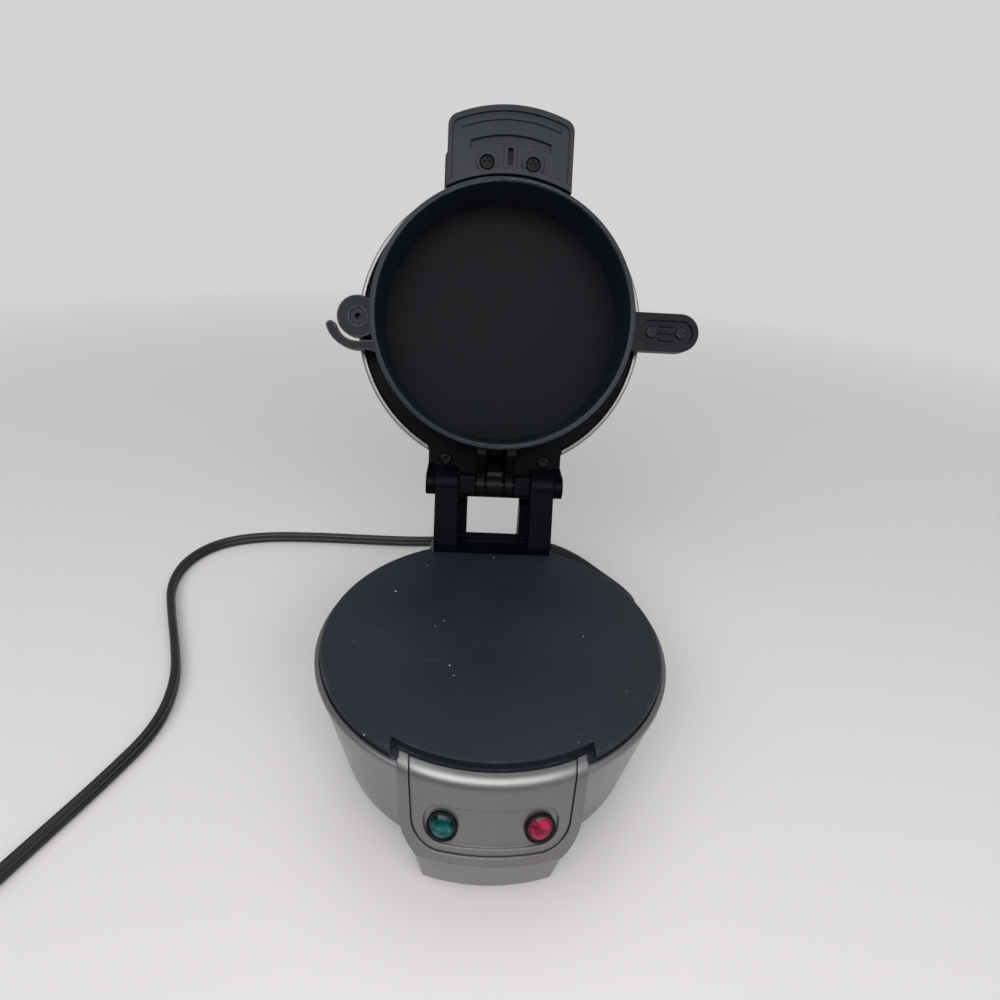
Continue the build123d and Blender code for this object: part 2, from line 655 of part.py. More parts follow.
def bottom_ring():
    """Lower ring with its front lug, hinge fingers, pivot lobe and guard arm."""
    top_out = ring_bore_r + ring_wall
    foot_out = top_out + ring_flare
    foot_in = ring_bore_r + ring_flare
    ring = turned([(ring_bore_r, ring_top), (top_out, ring_top), (foot_out, ring_low), (foot_in, ring_low)],
                  [0.3, 0.3, 0.8, 0.8])
    lug = block(-lug_half, lug_half, -lug_tip, -ring_bore_r, ring_low + lug_z, ring_low + lug_z + lug_t)
    for x in ring_screw_x:
        lug = lug - post(1.5, x, -ring_screw_y, ring_low, ring_low + 8)
    root = ring_bore_r + 0.7
    reach = [(root, up(10)), (root, ring_top - 1.5), (root + 3.1, ring_top - 0.4), (hinge_y - 11.6, hinge_z + 4.6),
             (hinge_y, hinge_z + 4), (hinge_y - 2, hinge_z - 4), (hinge_y - 5.6, hinge_z - 5.9), (root + 5.5, up(10))]
    extra = lug + finger(4.6, 8.2, reach) + finger(-8.2, -4.6, reach)
    lobe_low = ring_top - lug_h
    extra = extra + post(pivot_boss_r, pivot_x, 0, lobe_low, ring_top)
    extra = extra + block(pivot_x, pivot_x + 13.5, -7.5, 7.5, lobe_low, ring_top)
    guard = post(guard_out_r, pivot_x, 0, lobe_low, ring_top)
    guard = guard - post(guard_in_r, pivot_x, 0, lobe_low - 1, ring_top + 1)
    far = 40
    keep = slab([(pivot_x, 0)] + [(pivot_x + far * cos(radians(a)), far * sin(radians(a))) for a in (72, 115, 160)],
                lobe_low - 1, ring_top + 1)
    guard = guard & keep
    mid_r = (guard_in_r + guard_out_r) / 2
    tip = radians(160)
    tip_r = (guard_out_r - guard_in_r) / 2
    guard = guard + post(tip_r, pivot_x + mid_r * cos(tip), mid_r * sin(tip), lobe_low, ring_top)
    foot = slab([(pivot_x + 3.1, guard_in_r - 0.5), (pivot_x + 12.5, guard_in_r - 0.5),
                 (pivot_x + 14, guard_out_r + 1.6), (pivot_x + 4.2, guard_out_r - 0.6)], lobe_low, ring_top)
    extra = extra + guard + foot
    bore = turned([(0, ring_low - 1), (foot_in + 0.4, ring_low - 1), (ring_bore_r + 0.6, ring_top + 1),
                   (0, ring_top + 1)])
    ring = ring + (extra - bore)
    ring = ring - post(pivot_pin_r + pin_fixed_gap, pivot_x, 0, lobe_low - 1, ring_top + 1)
    ring = ring - post(3.7, pivot_x, 0, lobe_low - 1, lobe_low + 1.3)
    return ring - axle(pin_r + pin_run_gap, -12, 12)


def pivot_rivet():
    """Hollow rivet that carries the cooking plate."""
    low = ring_top - lug_h
    rivet = post(pivot_pin_r, pivot_x, 0, low + 0.4, cook_top + stack_gap)
    rivet = rivet + post(3.4, pivot_x, 0, low + 0.4, low + 1.3)
    rivet = rivet + post(4.4, pivot_x, 0, cook_top + stack_gap, cook_top + stack_gap + 1.2)
    return rivet - post(1.3, pivot_x, 0, low - 1, low + 4)


def grip_plan(half, tip, tip_r, inner_r, z0, z1, corner):
    """Front handle seen from above: straight sides, a bowed tip and a round inner end."""
    plan = block(-half, half, -tip - 5, -40, z0, z1) & post(tip_r, 0, tip_r - tip, z0, z1)
    plan = fillet(plan.edges().filter_by(Axis.Z).sort_by(Axis.Y)[:2], corner)
    return plan - post(inner_r, 0, 0, z0 - 1, z1 + 1)


def arc_band(centre_y, r_in, r_out, half_x, z0, z1):
    """Curved band in the handle, bowed to the front."""
    band = post(r_out, 0, centre_y, z0, z1) - post(r_in, 0, centre_y, z0 - 1, z1 + 1)
    return band & block(-half_x, half_x, centre_y - r_out - 5, centre_y, z0 - 1, z1 + 1)


def ring_handle():
    """Handle of the lower ring, with the ribs, slots and screw bosses of its underside."""
    low = ring_low
    face = low + 1.2
    top = low + grip_h
    inner_r = ring_bore_r + ring_wall + ring_flare + 0.7
    bow = grip_tip_r - grip_tip
    grip = grip_plan(grip_half, grip_tip, grip_tip_r, inner_r, face, top, grip_corner)
    grip = fillet(grip.edges().filter_by(Plane.XY).group_by(Axis.Z)[-1].sort_by(Axis.Y)[:3], 1.6)
    lip = (post(inner_r + 2.3, 0, 0, low, face) - post(inner_r, 0, 0, low - 1, face + 1)) & block(
        -grip_half, grip_half, -80, -40, low, face)
    rim = grip_plan(grip_half, grip_tip, grip_tip_r, inner_r, low + 0.3, face, grip_corner)
    rim_inner = grip_plan(grip_half - 1.8, grip_tip - 2.2, grip_tip_r - 2.2, 40, low - 1, face + 1, grip_corner - 1.5)
    rim = rim - rim_inner
    grip = grip + lip + rim
    grip = grip + arc_band(bow, grip_tip_r - 5.4, grip_tip_r - 3.6, 19.7, low + 0.5, face)
    for x in ring_screw_x:
        grip = grip + post(4.4, x, -ring_screw_y - 0.5, low + 0.2, face)
    grip = grip + block(-2.6, 2.6, -ring_screw_y - 7.2, -ring_screw_y + 1.8, low + 0.2, face)
    grip = grip - arc_band(bow, grip_tip_r - 14, grip_tip_r - 10.8, 16, low - 1, face + 1.4)
    grip = grip - block(-1.0, 1.0, -ring_screw_y - 5.8, -ring_screw_y + 0.6, low - 1, face + 1.6)
    grip = grip - block(-lug_half - fit_gap, lug_half + fit_gap, -lug_tip - fit_gap, -ring_bore_r + 0.8,
                        low + lug_z - screw_gap, low + lug_z + lug_t + screw_gap)
    for x in ring_screw_x:
        grip = grip - post(3.0, x, -ring_screw_y, low - 1, low + 1.3) - post(1.35, x, -ring_screw_y, low, low + 7)
    return grip


def cooking_plate():
    """Flat swinging plate with a pivot boss on the left and a tongue on the right."""
    plate = post(cook_r, 0, 0, cook_low, cook_top)
    plate = plate + post(8, pivot_x, 0, cook_low, cook_top)
    plate = plate + block(pivot_x, pivot_x + 12.5, -8, 8, cook_low, cook_top)
    plate = plate + block(cook_r - 3.5, side_grip_tip - 4, -5.5, 5.5, cook_low, cook_top)
    plate = plate - post(pivot_pin_r + pin_run_gap, pivot_x, 0, cook_low - 1, cook_top + 1)
    for x in side_screw_x:
        plate = plate - post(1.5, x, 0, cook_low - 1, cook_top + 1)
    return plate


side_screw_x = (side_grip_in + 10.5, side_grip_tip - 7.6)
side_recess = 1.2


def side_plan(z0, z1, shrink=0.0):
    """Side handle seen from above: straight sides and a round end."""
    half = side_grip_half - shrink
    centre = side_grip_tip - side_grip_half
    return post(half, centre, 0, z0, z1) + block(side_grip_in + shrink, centre, -half, half, z0, z1)


def plate_handle_lower():
    """Lower half of the side handle, with its grooves and the pocket for the tongue."""
    low = cook_low - 3.3
    grip = side_plan(low, cook_top)
    grip = grip - block(side_grip_in - 9, side_grip_tip - 3.7, -5.8, 5.8, cook_low - screw_gap, cook_top + 1)
    first, last = side_screw_x
    for x in side_screw_x:
        grip = grip - post(5.2, x, 0, low - 1, low + side_recess)
    grip = grip - block(first, last, -5.2, 5.2, low - 1, low + side_recess)
    for y in (-3.0, 0.0, 3.0):
        grip = grip + block(first + 3.4, last - 3.4, y - 0.5, y + 0.5, low + 0.2, low + side_recess + 0.1)
    for x in side_screw_x:
        grip = grip - post(1.35, x, 0, low - 1, cook_low + 1)
    return grip


def plate_handle_upper():
    """Upper half of the side handle."""
    low = cook_top + screw_gap
    high = low + 3.2
    grip = side_plan(low, high)
    grip = fillet(grip.edges().group_by(Axis.Z)[-1], 1.2)
    for x in side_screw_x:
        grip = grip - post(1.35, x, 0, low - 1, high - 1.2)
    return grip


def top_ring():
    """Upper ring with one hinge finger."""
    r = top_ring_bore_r
    out = r + top_ring_wall
    ring = turned([(r, top_ring_low), (out + 0.8, top_ring_low), (out + 0.8, top_ring_low + 1.6),
                   (out, top_ring_low + 2.4), (out, top_ring_top), (r, top_ring_top)], [0.3, 0.3, 0.3, 0.3, 0.3, 0.3])
    reach = [(out - 1, top_ring_low + 0.3), (out - 1, hinge_z + 8.3), (hinge_y - 7.6, hinge_z + 7.7),
             (hinge_y, hinge_z + 4.5), (hinge_y - 2, hinge_z - 4), (hinge_y - 6.1, hinge_z - 3.4),
             (out + 5.6, top_ring_low + 0.3)]
    ring = ring + finger(-3.6, 3.6, reach)
    return ring - axle(pin_r + pin_run_gap, -12, 12)


# The lid, drawn closed
upper_screw_ring = collar_in_r + 3.8
upper_screw_spots = [(upper_screw_ring * cos(radians(a)), upper_screw_ring * sin(radians(a)))
                     for a in (20, 160, 235, 305)]
collar_screw_spots = [(23, hinge_y - 10.6), (-23, hinge_y - 10.6)]
lid_grip_screw_spots = [(12, -collar_out_r - 4.0), (-12, -collar_out_r - 4.0)]


def cover_collar():
    """Black ring in the lid's mouth, with the hinge tongue, ears and lugs behind."""
    z = lid_low
    ring = turned([(collar_in_r, z), (collar_out_r, z), (collar_out_r, z + collar_t),
                   (collar_in_r + upstand_t, z + collar_t), (collar_in_r + upstand_t, flange_z),
                   (collar_in_r, flange_z)], [0.8, 0.8, 0, 0, 0, 0])
    tongue = slab([(-tongue_half, 50), (-tongue_half, tongue_back), (tongue_half, tongue_back), (tongue_half, 50)],
                  z, z + tongue_t, [0, 6, 6, 0])
    tongue = tongue - post(collar_in_r, 0, 0, z - 1, z + 20)
    ear_in = post_out + slip_gap

    def ear(side):
        x0, x1 = sorted((side * ear_in, side * (ear_in + ear_t)))
        top = z + tongue_t - 0.5
        arm = side_slab([(hinge_y - ear_r, hinge_z), (hinge_y - 10, top), (hinge_y + 6.2, top),
                         (hinge_y + ear_r, hinge_z)], x0, x1)
        return arm + axle(ear_r, x0, x1)

    def lug(side):
        x0, x1 = sorted((side * 9.1, side * 16.0))
        half = 4.6
        return side_slab([(hinge_y - half, hinge_z - half), (hinge_y - half, z + 1), (hinge_y + half, z + 1),
                          (hinge_y + half, hinge_z - half)], x0, x1, [1.2, 0, 0, 1.2])

    tab = block(-18, 18, -collar_out_r - 10, -collar_out_r + 3, z, z + 2)
    tab = fillet(tab.edges().filter_by(Axis.Z).sort_by(Axis.Y)[:2], 4)
    collar = ring + tongue + both(ear) + both(lug) + tab
    for x, y in upper_screw_spots:
        collar = collar + post(3.2, x, y, z + collar_t - 1, flange_z) - post(1.35, x, y, z + 6, flange_z + 1)
    collar = collar - post(collar_in_r, 0, 0, z - 1, flange_z + 1)
    for x, y in collar_screw_spots:
        collar = collar - post(1.45, x, y, z - 1, z + 12) - post(3.1, x, y, z - 1, z + 0.9)
    for x, y in lid_grip_screw_spots:
        collar = collar - post(1.45, x, y, z - 1, z + 12)
    return collar - axle(pin_r + pin_run_gap, -pin_reach - stack_gap, pin_reach + stack_gap)


def cover_shell():
    """Painted domed lid with a rear hood over the hinge tongue."""
    z = lid_low + 0.4
    top = lid_low + lid_h
    outer = turned([(0, z), (lid_r - 0.9, z), (lid_r - 0.35, z + 0.7), (lid_r, z + 2.4), (lid_r - 0.1, z + 4.0),
                    (lid_r - 1.9, top - 12), (lid_r - 13.5, top - 2), (0, top)], [0, 0, 0, 0, 0, 8, 16, 0])
    t = lid_wall
    inner = turned([(0, z - 5), (lid_r - t - 0.1, z - 5), (lid_r - t - 0.1, z + 4), (lid_r - 1.9 - t, top - 12.8),
                    (lid_r - 14.3, top - 2 - t), (0, top - t)], [0, 0, 1, 6, 14, 0])
    seat = lid_low + tongue_t
    hood_front = 30
    plan = slab([(-tongue_half, hood_front), (-tongue_half, tongue_back), (tongue_half, tongue_back),
                 (tongue_half, hood_front)], seat, top - 6, [0, 6, 6, 0])
    slope = side_slab([(hood_front, seat), (tongue_back + 1, seat), (tongue_back + 1, seat + 4),
                       (tongue_back - 4, seat + 8), (lid_r - 7.4, top - 12), (hood_front, top - 7)], -40, 40)
    inner_plan = slab([(-tongue_half + t, hood_front), (-tongue_half + t, tongue_back - t),
                       (tongue_half - t, tongue_back - t), (tongue_half - t, hood_front)],
                      seat - 1, top - 8, [0, 4, 4, 0])
    inner_slope = side_slab([(hood_front, seat - 1), (tongue_back, seat - 1), (tongue_back, seat + 3),
                             (tongue_back - 5, seat + 6.3), (lid_r - 7.9, top - 14), (hood_front, top - 9)], -40, 40)
    shell = outer + (plan & slope) - inner - (inner_plan & inner_slope)
    shell = shell - block(-tongue_half - fit_gap, tongue_half + fit_gap, 40, 90, z - 5, seat)
    shell = shell - block(-lid_grip_half - fit_gap, lid_grip_half + fit_gap, -90, -50, z - 5,
                          lid_low + 2.1 + lid_grip_h + fit_gap)
    for x, y in collar_screw_spots:
        boss = post(3.4, x, y, seat, top) & plan & slope
        shell = shell + (boss - post(1.35, x, y, seat - 1, seat + 7.5))
    return shell


def cover_handle():
    """Handle of the lid, screwed to the collar's front tab."""
    low = lid_low + 2.1
    high = low + lid_grip_h
    inner_r = collar_in_r + upstand_t + 0.5
    grip = grip_plan(lid_grip_half, lid_grip_tip, 60.0, inner_r, low, high, 5.5)
    grip = fillet(grip.edges().filter_by(Plane.XY).group_by(Axis.Z)[-1].sort_by(Axis.Y)[:3], 2.0)
    grip = grip - block(-20, 20, -60, -50, low - 1, lid_low + collar_t + fit_gap)
    grip = grip - (post(collar_out_r + fit_gap, 0, 0, low - 1, lid_low + collar_t + fit_gap))
    for x, y in upper_screw_spots:
        grip = grip - post(3.6, x, y, low - 1, high + 1)
    for x, y in lid_grip_screw_spots:
        grip = grip - post(1.35, x, y, low - 1, low + 6.4)
    return grip


def upper_heating_plate():
    """Cast plate that enters the upper ring, with a flange on the collar."""
    plate = turned([(0, upper_face_z), (upper_plate_r, upper_face_z), (upper_plate_r, flange_z), (flange_r, flange_z),
                    (flange_r, flange_z + flange_t), (0, flange_z + flange_t)], [0, 0.9, 0, 0, 0, 0])
    for x, y in upper_screw_spots:
        plate = plate - post(1.45, x, y, flange_z - 1, flange_z + flange_t + 1)
    return plate


upper_plate_back = flange_z + flange_t
upper_shield_z = upper_plate_back + 9.0
upper_stud_spots = [(20 * cos(radians(a)), 20 * sin(radians(a))) for a in (90, 210, 330)]

fixed = {
    "base_housing": base_housing(),
    "front_panel": front_panel(),
    "preheat_lens": lens(-1),
    "power_lens": lens(1),
    "indicator_lamps": group([lamp(-1), lamp(1)]),
    "bottom_cover": bottom_cover(),
    "rubber_feet": group([rubber_foot(x, y) for x, y in front_foot_spots + rear_foot_spots]),
    "lower_heating_plate": lower_heating_plate(),
    "lower_heating_element": heater(lower_heater_ring, lower_plate_under - 0.3 - heater_r, -8.0),
    "lower_heat_shield": heat_shield(bowl_foot_r - 6.5, lower_shield_z, True),
    "lower_shield_studs": group([post(stud_r, x, y, lower_shield_z + shield_t, lower_plate_under)
                                 for x, y in stud_spots]),
    "thermostat": thermostat(),
    "thermal_fuse": thermal_fuse(),
    "terminal_block": terminal_block(),
    "hinge_bracket": hinge_bracket(),
    "hinge_pin": hinge_pin(),
    "base_screws": group([screw(x, y, foot_height + 1.2, 8.0, 3.0, 1.1) for x, y in boss_spots]),
    "bracket_screws": group([screw(x, y, bracket_z - block_foot, 13.5) for x, y in bracket_screw_spots]),
    "strain_relief": strain_relief(),
    "power_cord": power_cord(),
    "cord_coil": cord_coil(),
    "plug_body": plug_body(),
    "plug_blades": plug_blades(),
}

swinging = {
    "bottom_ring": bottom_ring(),
    "pivot_rivet": pivot_rivet(),
    "ring_handle": ring_handle(),
    "ring_handle_screws": group([screw(x, -ring_screw_y, ring_low + 1.3, 5.4, 2.7, 1.1)
                                 for x in ring_screw_x]),
    "cooking_plate": cooking_plate(),
    "plate_handle_lower": plate_handle_lower(),
    "plate_handle_upper": plate_handle_upper(),
    "plate_handle_screws": group([screw(x, 0, cook_low - 2.1, 6.5, 2.6, 0.8) for x in side_screw_x]),
    "top_ring": top_ring(),
    "cover_collar": cover_collar(),
    "cover_shell": cover_shell(),
    "cover_handle": cover_handle(),
    "cover_handle_screws": group([screw(x, y, lid_low, 8.0) for x, y in lid_grip_screw_spots]),
    "collar_screws": group([screw(x, y, lid_low + 0.9, 11.0, 2.9, 1.3) for x, y in collar_screw_spots]),
    "upper_heating_plate": upper_heating_plate(),
    "upper_heating_element": heater(upper_heater_ring, upper_plate_back + 0.3 + heater_r, 5.0),
    "upper_heat_shield": heat_shield(upper_plate_r - 3.8, upper_shield_z, False, heater_ends(upper_heater_ring)),
    "upper_shield_studs": group([post(stud_r, x, y, upper_plate_back, upper_shield_z)
                                 for x, y in upper_stud_spots]),
    "upper_plate_screws": group([screw(x, y, flange_z + flange_t, 7.5, 2.6, 1.4, 1.25, False)
                                 for x, y in upper_screw_spots]),
}

os.makedirs("parts", exist_ok=True)
for node, shape in fixed.items():
    export_step(shape, f"parts/{node}.step")
for node, shape in swinging.items():
    export_step(shape.rotate(pin_line, -open_angle), f"parts/{node}.step")
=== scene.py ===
import json
from math import asin, cos, pi, radians, sin, tan

import bmesh
import bpy
from bpy.props import FloatProperty, FloatVectorProperty, PointerProperty
from mathutils import Matrix, Vector


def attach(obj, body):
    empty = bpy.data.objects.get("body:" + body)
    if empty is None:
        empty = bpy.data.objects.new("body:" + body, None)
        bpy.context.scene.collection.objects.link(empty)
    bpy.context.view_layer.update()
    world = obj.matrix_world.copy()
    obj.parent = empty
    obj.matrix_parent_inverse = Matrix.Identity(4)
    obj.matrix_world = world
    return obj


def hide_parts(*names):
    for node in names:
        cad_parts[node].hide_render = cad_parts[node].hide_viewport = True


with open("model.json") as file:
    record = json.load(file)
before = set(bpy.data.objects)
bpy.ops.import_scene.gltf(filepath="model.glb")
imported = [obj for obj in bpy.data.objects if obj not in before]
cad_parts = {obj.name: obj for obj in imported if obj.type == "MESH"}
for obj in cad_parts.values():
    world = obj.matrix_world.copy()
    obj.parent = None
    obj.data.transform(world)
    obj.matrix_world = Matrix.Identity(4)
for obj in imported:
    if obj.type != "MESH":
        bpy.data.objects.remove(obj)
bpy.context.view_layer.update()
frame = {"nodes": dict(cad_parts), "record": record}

bl_info = {
    "name": "Sandwich Cooker",
    "version": (1, 0, 0),
    "blender": (4, 5, 0),
    "location": "View3D > Sidebar > Cooker",
    "description": "Dresses a countertop sandwich cooker with its cord, lenses and finishes",
    "category": "Object",
}

# The hinge line, and the distances over which the painted shade by the hinge fades out and the pale rims
# begin
HINGE_Y = 0.0716
HINGE_Z = 0.0779
HINGE_NEAR = 0.019
HINGE_FAR = 0.027
nodes = frame["nodes"]


# Sizes and colours that a user would change

def length(name, text, default):
    """A length property in metres."""
    return FloatProperty(name=name, description=text, default=default, min=0.0001, unit="LENGTH", precision=5)


def colour(name, text, default):
    """A colour property."""
    return FloatVectorProperty(name=name, description=text, default=default, size=3, min=0.0, max=1.0,
                               subtype="COLOR")


class CookerSizes(bpy.types.PropertyGroup):
    """Sizes of the pieces modelled here."""
    cord_height: length("Cord height", "Height of the flat cord standing on its edge", 0.0062)
    cord_thickness: length("Cord thickness", "Thickness of the flat cord", 0.0036)
    lens_radius: length("Lens radius", "Radius of each lamp lens", 0.0045)
    grain: length("Plastic grain", "Size of the moulded grain on the black plastic", 0.0004)
    edge: length("Edge rounding", "Rounding drawn on the moulded and cast edges", 0.0005)


class CookerColours(bpy.types.PropertyGroup):
    """Colours of the finishes."""
    silver: colour("Silver paint", "Warm grey metallic paint of the shells", (0.192, 0.185, 0.186))
    black: colour("Black plastic", "Satin plastic of the side handle and the small parts",
                  (0.0052, 0.0070, 0.0096))
    # Darker black of the hinge and the collar: painted shade, for the shade under the raised lid
    hinge_shaded_black: colour("Hinge black", "Deep black plastic of the hinge and the collar",
                        (0.0012, 0.0018, 0.0034))
    # Paler, bluer black of the two front handles: partly dust, partly painted sheen
    grip_dust_and_sheen_black: colour("Grip black", "Rubbed, slightly dusty plastic of the two front handles",
                       (0.0115, 0.0148, 0.0190))
    coating: colour("Plate coating", "Dark slate coating of the two heating plates", (0.0108, 0.0145, 0.0225))
    ring: colour("Ring coating", "Coating of the rings and the cooking plate", (0.0118, 0.0154, 0.0200))
    cord: colour("Cord", "Sheath of the cord", (0.0060, 0.0065, 0.0085))
    green: colour("Green lens", "Tint of the left lens", (0.0006, 0.082, 0.084))
    red: colour("Red lens", "Tint of the right lens", (0.27, 0.006, 0.045))
    floor: colour("Floor", "Colour of the table", (0.72, 0.70, 0.69))


def sizes():
    """The scene's size settings."""
    return bpy.context.scene.cooker_sizes


def colours():
    """The scene's colour settings."""
    return bpy.context.scene.cooker_colours


# Modelling helpers

def start_clean():
    """Leaves edit mode with nothing selected."""
    if bpy.context.object is not None and bpy.context.object.mode != "OBJECT":
        bpy.ops.object.mode_set(mode="OBJECT")
    bpy.ops.object.select_all(action="DESELECT")


def only(obj):
    """Selects one object and makes it active."""
    start_clean()
    obj.select_set(True)
    bpy.context.view_layer.objects.active = obj


def settle(obj):
    """Puts the object's place into its mesh."""
    only(obj)
    bpy.ops.object.transform_apply(location=True, rotation=True, scale=True)


# Materials

DUST_COLOUR = (0.16, 0.165, 0.175)
PALE_EDGE_COLOUR = (0.060, 0.064, 0.074)
# Pale rim colour of the coatings: partly wear, partly painted highlight
RUBBED_AND_HIGHLIGHT_COLOUR = (0.19, 0.205, 0.22)
SCRATCH_COLOUR = (0.26, 0.27, 0.28)
CRUMB_COLOUR = (0.6, 0.59, 0.56)
# Most of a noise's values lie between these two
MOST_NOISE = (0.35, 0.7)


def new_group(name, output, **inputs):
    """An empty shader node group with number sockets: the inputs with their defaults, and one output."""
    group = bpy.data.node_groups.new(name, "ShaderNodeTree")
    for label, default in inputs.items():
        label = label.replace("_", " ")
        socket = group.interface.new_socket(label, in_out="INPUT", socket_type="NodeSocketFloat")
        socket.default_value = default
    group.interface.new_socket(output, in_out="OUTPUT", socket_type="NodeSocketFloat")
    return group, group.nodes.new("NodeGroupInput"), group.nodes.new("NodeGroupOutput")


def feed(tree, socket, value):
    """Gives a socket a link, a colour of three numbers or a number."""
    if hasattr(value, "is_linked"):
        tree.links.new(value, socket)
    elif isinstance(value, tuple):
        socket.default_value = (*value, 1.0)
    else:
        socket.default_value = value


def object_coords(tree):
    """Coordinates of the object itself in metres, or for the world the direction."""
    return tree.nodes.new("ShaderNodeTexCoord").outputs["Object"]


def noise(tree, coords, scale, detail=2.0, roughness=0.5):
    """Values of a noise texture on the given coordinates."""
    node = tree.nodes.new("ShaderNodeTexNoise")
    node.inputs["Detail"].default_value = detail
    node.inputs["Roughness"].default_value = roughness
    feed(tree, node.inputs["Scale"], scale)
    tree.links.new(coords, node.inputs["Vector"])
    return node.outputs[0]


def ramp(tree, value, low, high, out_low=0.0, out_high=1.0):
    """Maps a value from one range to another, clamped."""
    node = tree.nodes.new("ShaderNodeMapRange")
    node.inputs["From Min"].default_value = low
    node.inputs["From Max"].default_value = high
    node.inputs["To Min"].default_value = out_low
    node.inputs["To Max"].default_value = out_high
    tree.links.new(value, node.inputs["Value"])
    return node.outputs["Result"]


def arithmetic(tree, operation, first, second):
    """A math node on two values, each a socket or a number."""
    node = tree.nodes.new("ShaderNodeMath")
    node.operation = operation
    feed(tree, node.inputs[0], first)
    feed(tree, node.inputs[1], second)
    return node.outputs[0]


def vector_math(tree, operation, first, second=None):
    """A vector math node on a vector and, where it takes one, another vector or three numbers."""
    node = tree.nodes.new("ShaderNodeVectorMath")
    node.operation = operation
    tree.links.new(first, node.inputs[0])
    if hasattr(second, "is_linked"):
        tree.links.new(second, node.inputs[1])
    elif second is not None:
        node.inputs[1].default_value = second
    return node.outputs["Value" if operation in ("DOT_PRODUCT", "LENGTH") else "Vector"]


def blend_colour(tree, factor, first, second):
    """Mixes two colours, each a socket or three numbers."""
    node = tree.nodes.new("ShaderNodeMix")
    node.data_type = "RGBA"
    feed(tree, node.inputs[0], factor)
    feed(tree, node.inputs[6], first)
    feed(tree, node.inputs[7], second)
    return node.outputs[2]


def shaded(base, factor):
    """A colour made darker or paler, up to white."""
    return tuple(min(1.0, part * factor) for part in base)


def edge_wear_and_highlight_group():
    """Mask of sharp edges that a noise breaks up, 1 there and 0 elsewhere: edge wear, and on the coatings
    partly painted highlight.
    """
    if "Worn And Highlit Edges" in bpy.data.node_groups:
        return bpy.data.node_groups["Worn And Highlit Edges"]
    group, given, out = new_group("Worn And Highlit Edges", "Mask", Width=0.0006, Patch_Scale=120.0, Cover=0.0)
    bevel = group.nodes.new("ShaderNodeBevel")
    bevel.samples = 4
    group.links.new(given.outputs["Width"], bevel.inputs["Radius"])
    geometry = group.nodes.new("ShaderNodeNewGeometry")
    turn = vector_math(group, "DOT_PRODUCT", bevel.outputs[0], geometry.outputs["Normal"])
    edge = ramp(group, turn, 0.995, 0.86)
    patches = noise(group, object_coords(group), given.outputs["Patch Scale"], detail=4.0, roughness=0.7)
    spread = arithmetic(group, "ADD", patches, given.outputs["Cover"])
    broken = ramp(group, spread, 0.48, 0.62)
    group.links.new(arithmetic(group, "MULTIPLY", edge, broken), out.inputs["Mask"])
    return group


def dust_group():
    """Mask of fine dust in clouds and grains."""
    if "Settled Dust" in bpy.data.node_groups:
        return bpy.data.node_groups["Settled Dust"]
    group, given, out = new_group("Settled Dust", "Mask", Amount=0.2, Patch_Scale=60.0)
    coords = object_coords(group)
    clouds = noise(group, coords, given.outputs["Patch Scale"], detail=5.0, roughness=0.65)
    film = arithmetic(group, "MULTIPLY", ramp(group, clouds, 0.35, 0.75), 0.6)
    specks = noise(group, coords, 2600.0, detail=1.0)
    grains = arithmetic(group, "MULTIPLY", ramp(group, specks, 0.62, 0.72), 0.5)
    total = arithmetic(group, "ADD", film, grains)
    group.links.new(arithmetic(group, "MULTIPLY", total, given.outputs["Amount"]), out.inputs["Mask"])
    return group


def grain_group():
    """Height of a fine moulded grain."""
    if "Moulded Grain" in bpy.data.node_groups:
        return bpy.data.node_groups["Moulded Grain"]
    group, given, out = new_group("Moulded Grain", "Height", Scale=1500.0)
    coords = object_coords(group)
    cells = group.nodes.new("ShaderNodeTexVoronoi")
    group.links.new(coords, cells.inputs["Vector"])
    group.links.new(given.outputs["Scale"], cells.inputs["Scale"])
    fine = noise(group, coords, given.outputs["Scale"], detail=2.0)
    group.links.new(arithmetic(group, "ADD", cells.outputs["Distance"], fine), out.inputs["Height"])
    return group


def scratch_group():
    """Mask of thin straight scratches in a few directions on a level surface."""
    if "Utensil Scratches" in bpy.data.node_groups:
        return bpy.data.node_groups["Utensil Scratches"]
    group, given, out = new_group("Utensil Scratches", "Mask", Amount=1.0)
    coords = object_coords(group)
    total = 0.0
    for turn, shift in ((0.35, 0.011), (1.25, 0.047), (2.3, 0.083), (2.9, 0.02)):
        place = group.nodes.new("ShaderNodeMapping")
        place.inputs["Location"].default_value = (shift, shift * 0.7, 0)
        place.inputs["Rotation"].default_value = (0, 0, turn)
        place.inputs["Scale"].default_value = (46.0, 1300.0, 1.0)
        group.links.new(coords, place.inputs["Vector"])
        streaks = noise(group, place.outputs[0], 1.0, detail=2.0, roughness=0.4)
        total = arithmetic(group, "MAXIMUM", total, ramp(group, streaks, 0.745, 0.775))
    group.links.new(arithmetic(group, "MULTIPLY", total, given.outputs["Amount"]), out.inputs["Mask"])
    return group


def away_from_hinge(tree, coords):
    """0 close to the hinge line and 1 away from it; the mask of the painted shade by the hinge."""
    from_line = vector_math(tree, "SUBTRACT", coords, (0, HINGE_Y, HINGE_Z))
    across = vector_math(tree, "MULTIPLY", from_line, (0, 1, 1))
    return ramp(tree, vector_math(tree, "LENGTH", across), HINGE_NEAR, HINGE_FAR)


def placed(tree, group, **values):
    """A node group placed in a material with its own values."""
    node = tree.nodes.new("ShaderNodeGroup")
    node.node_tree = group
    for label, value in values.items():
        node.inputs[label.replace("_", " ")].default_value = value
    return node


def new_material(name):
    """A material with only a Principled shader; gives the material, its tree and the shader."""
    material = bpy.data.materials.new(name)
    material.use_nodes = True
    tree = material.node_tree
    shader = tree.nodes["Principled BSDF"]
    return material, tree, shader


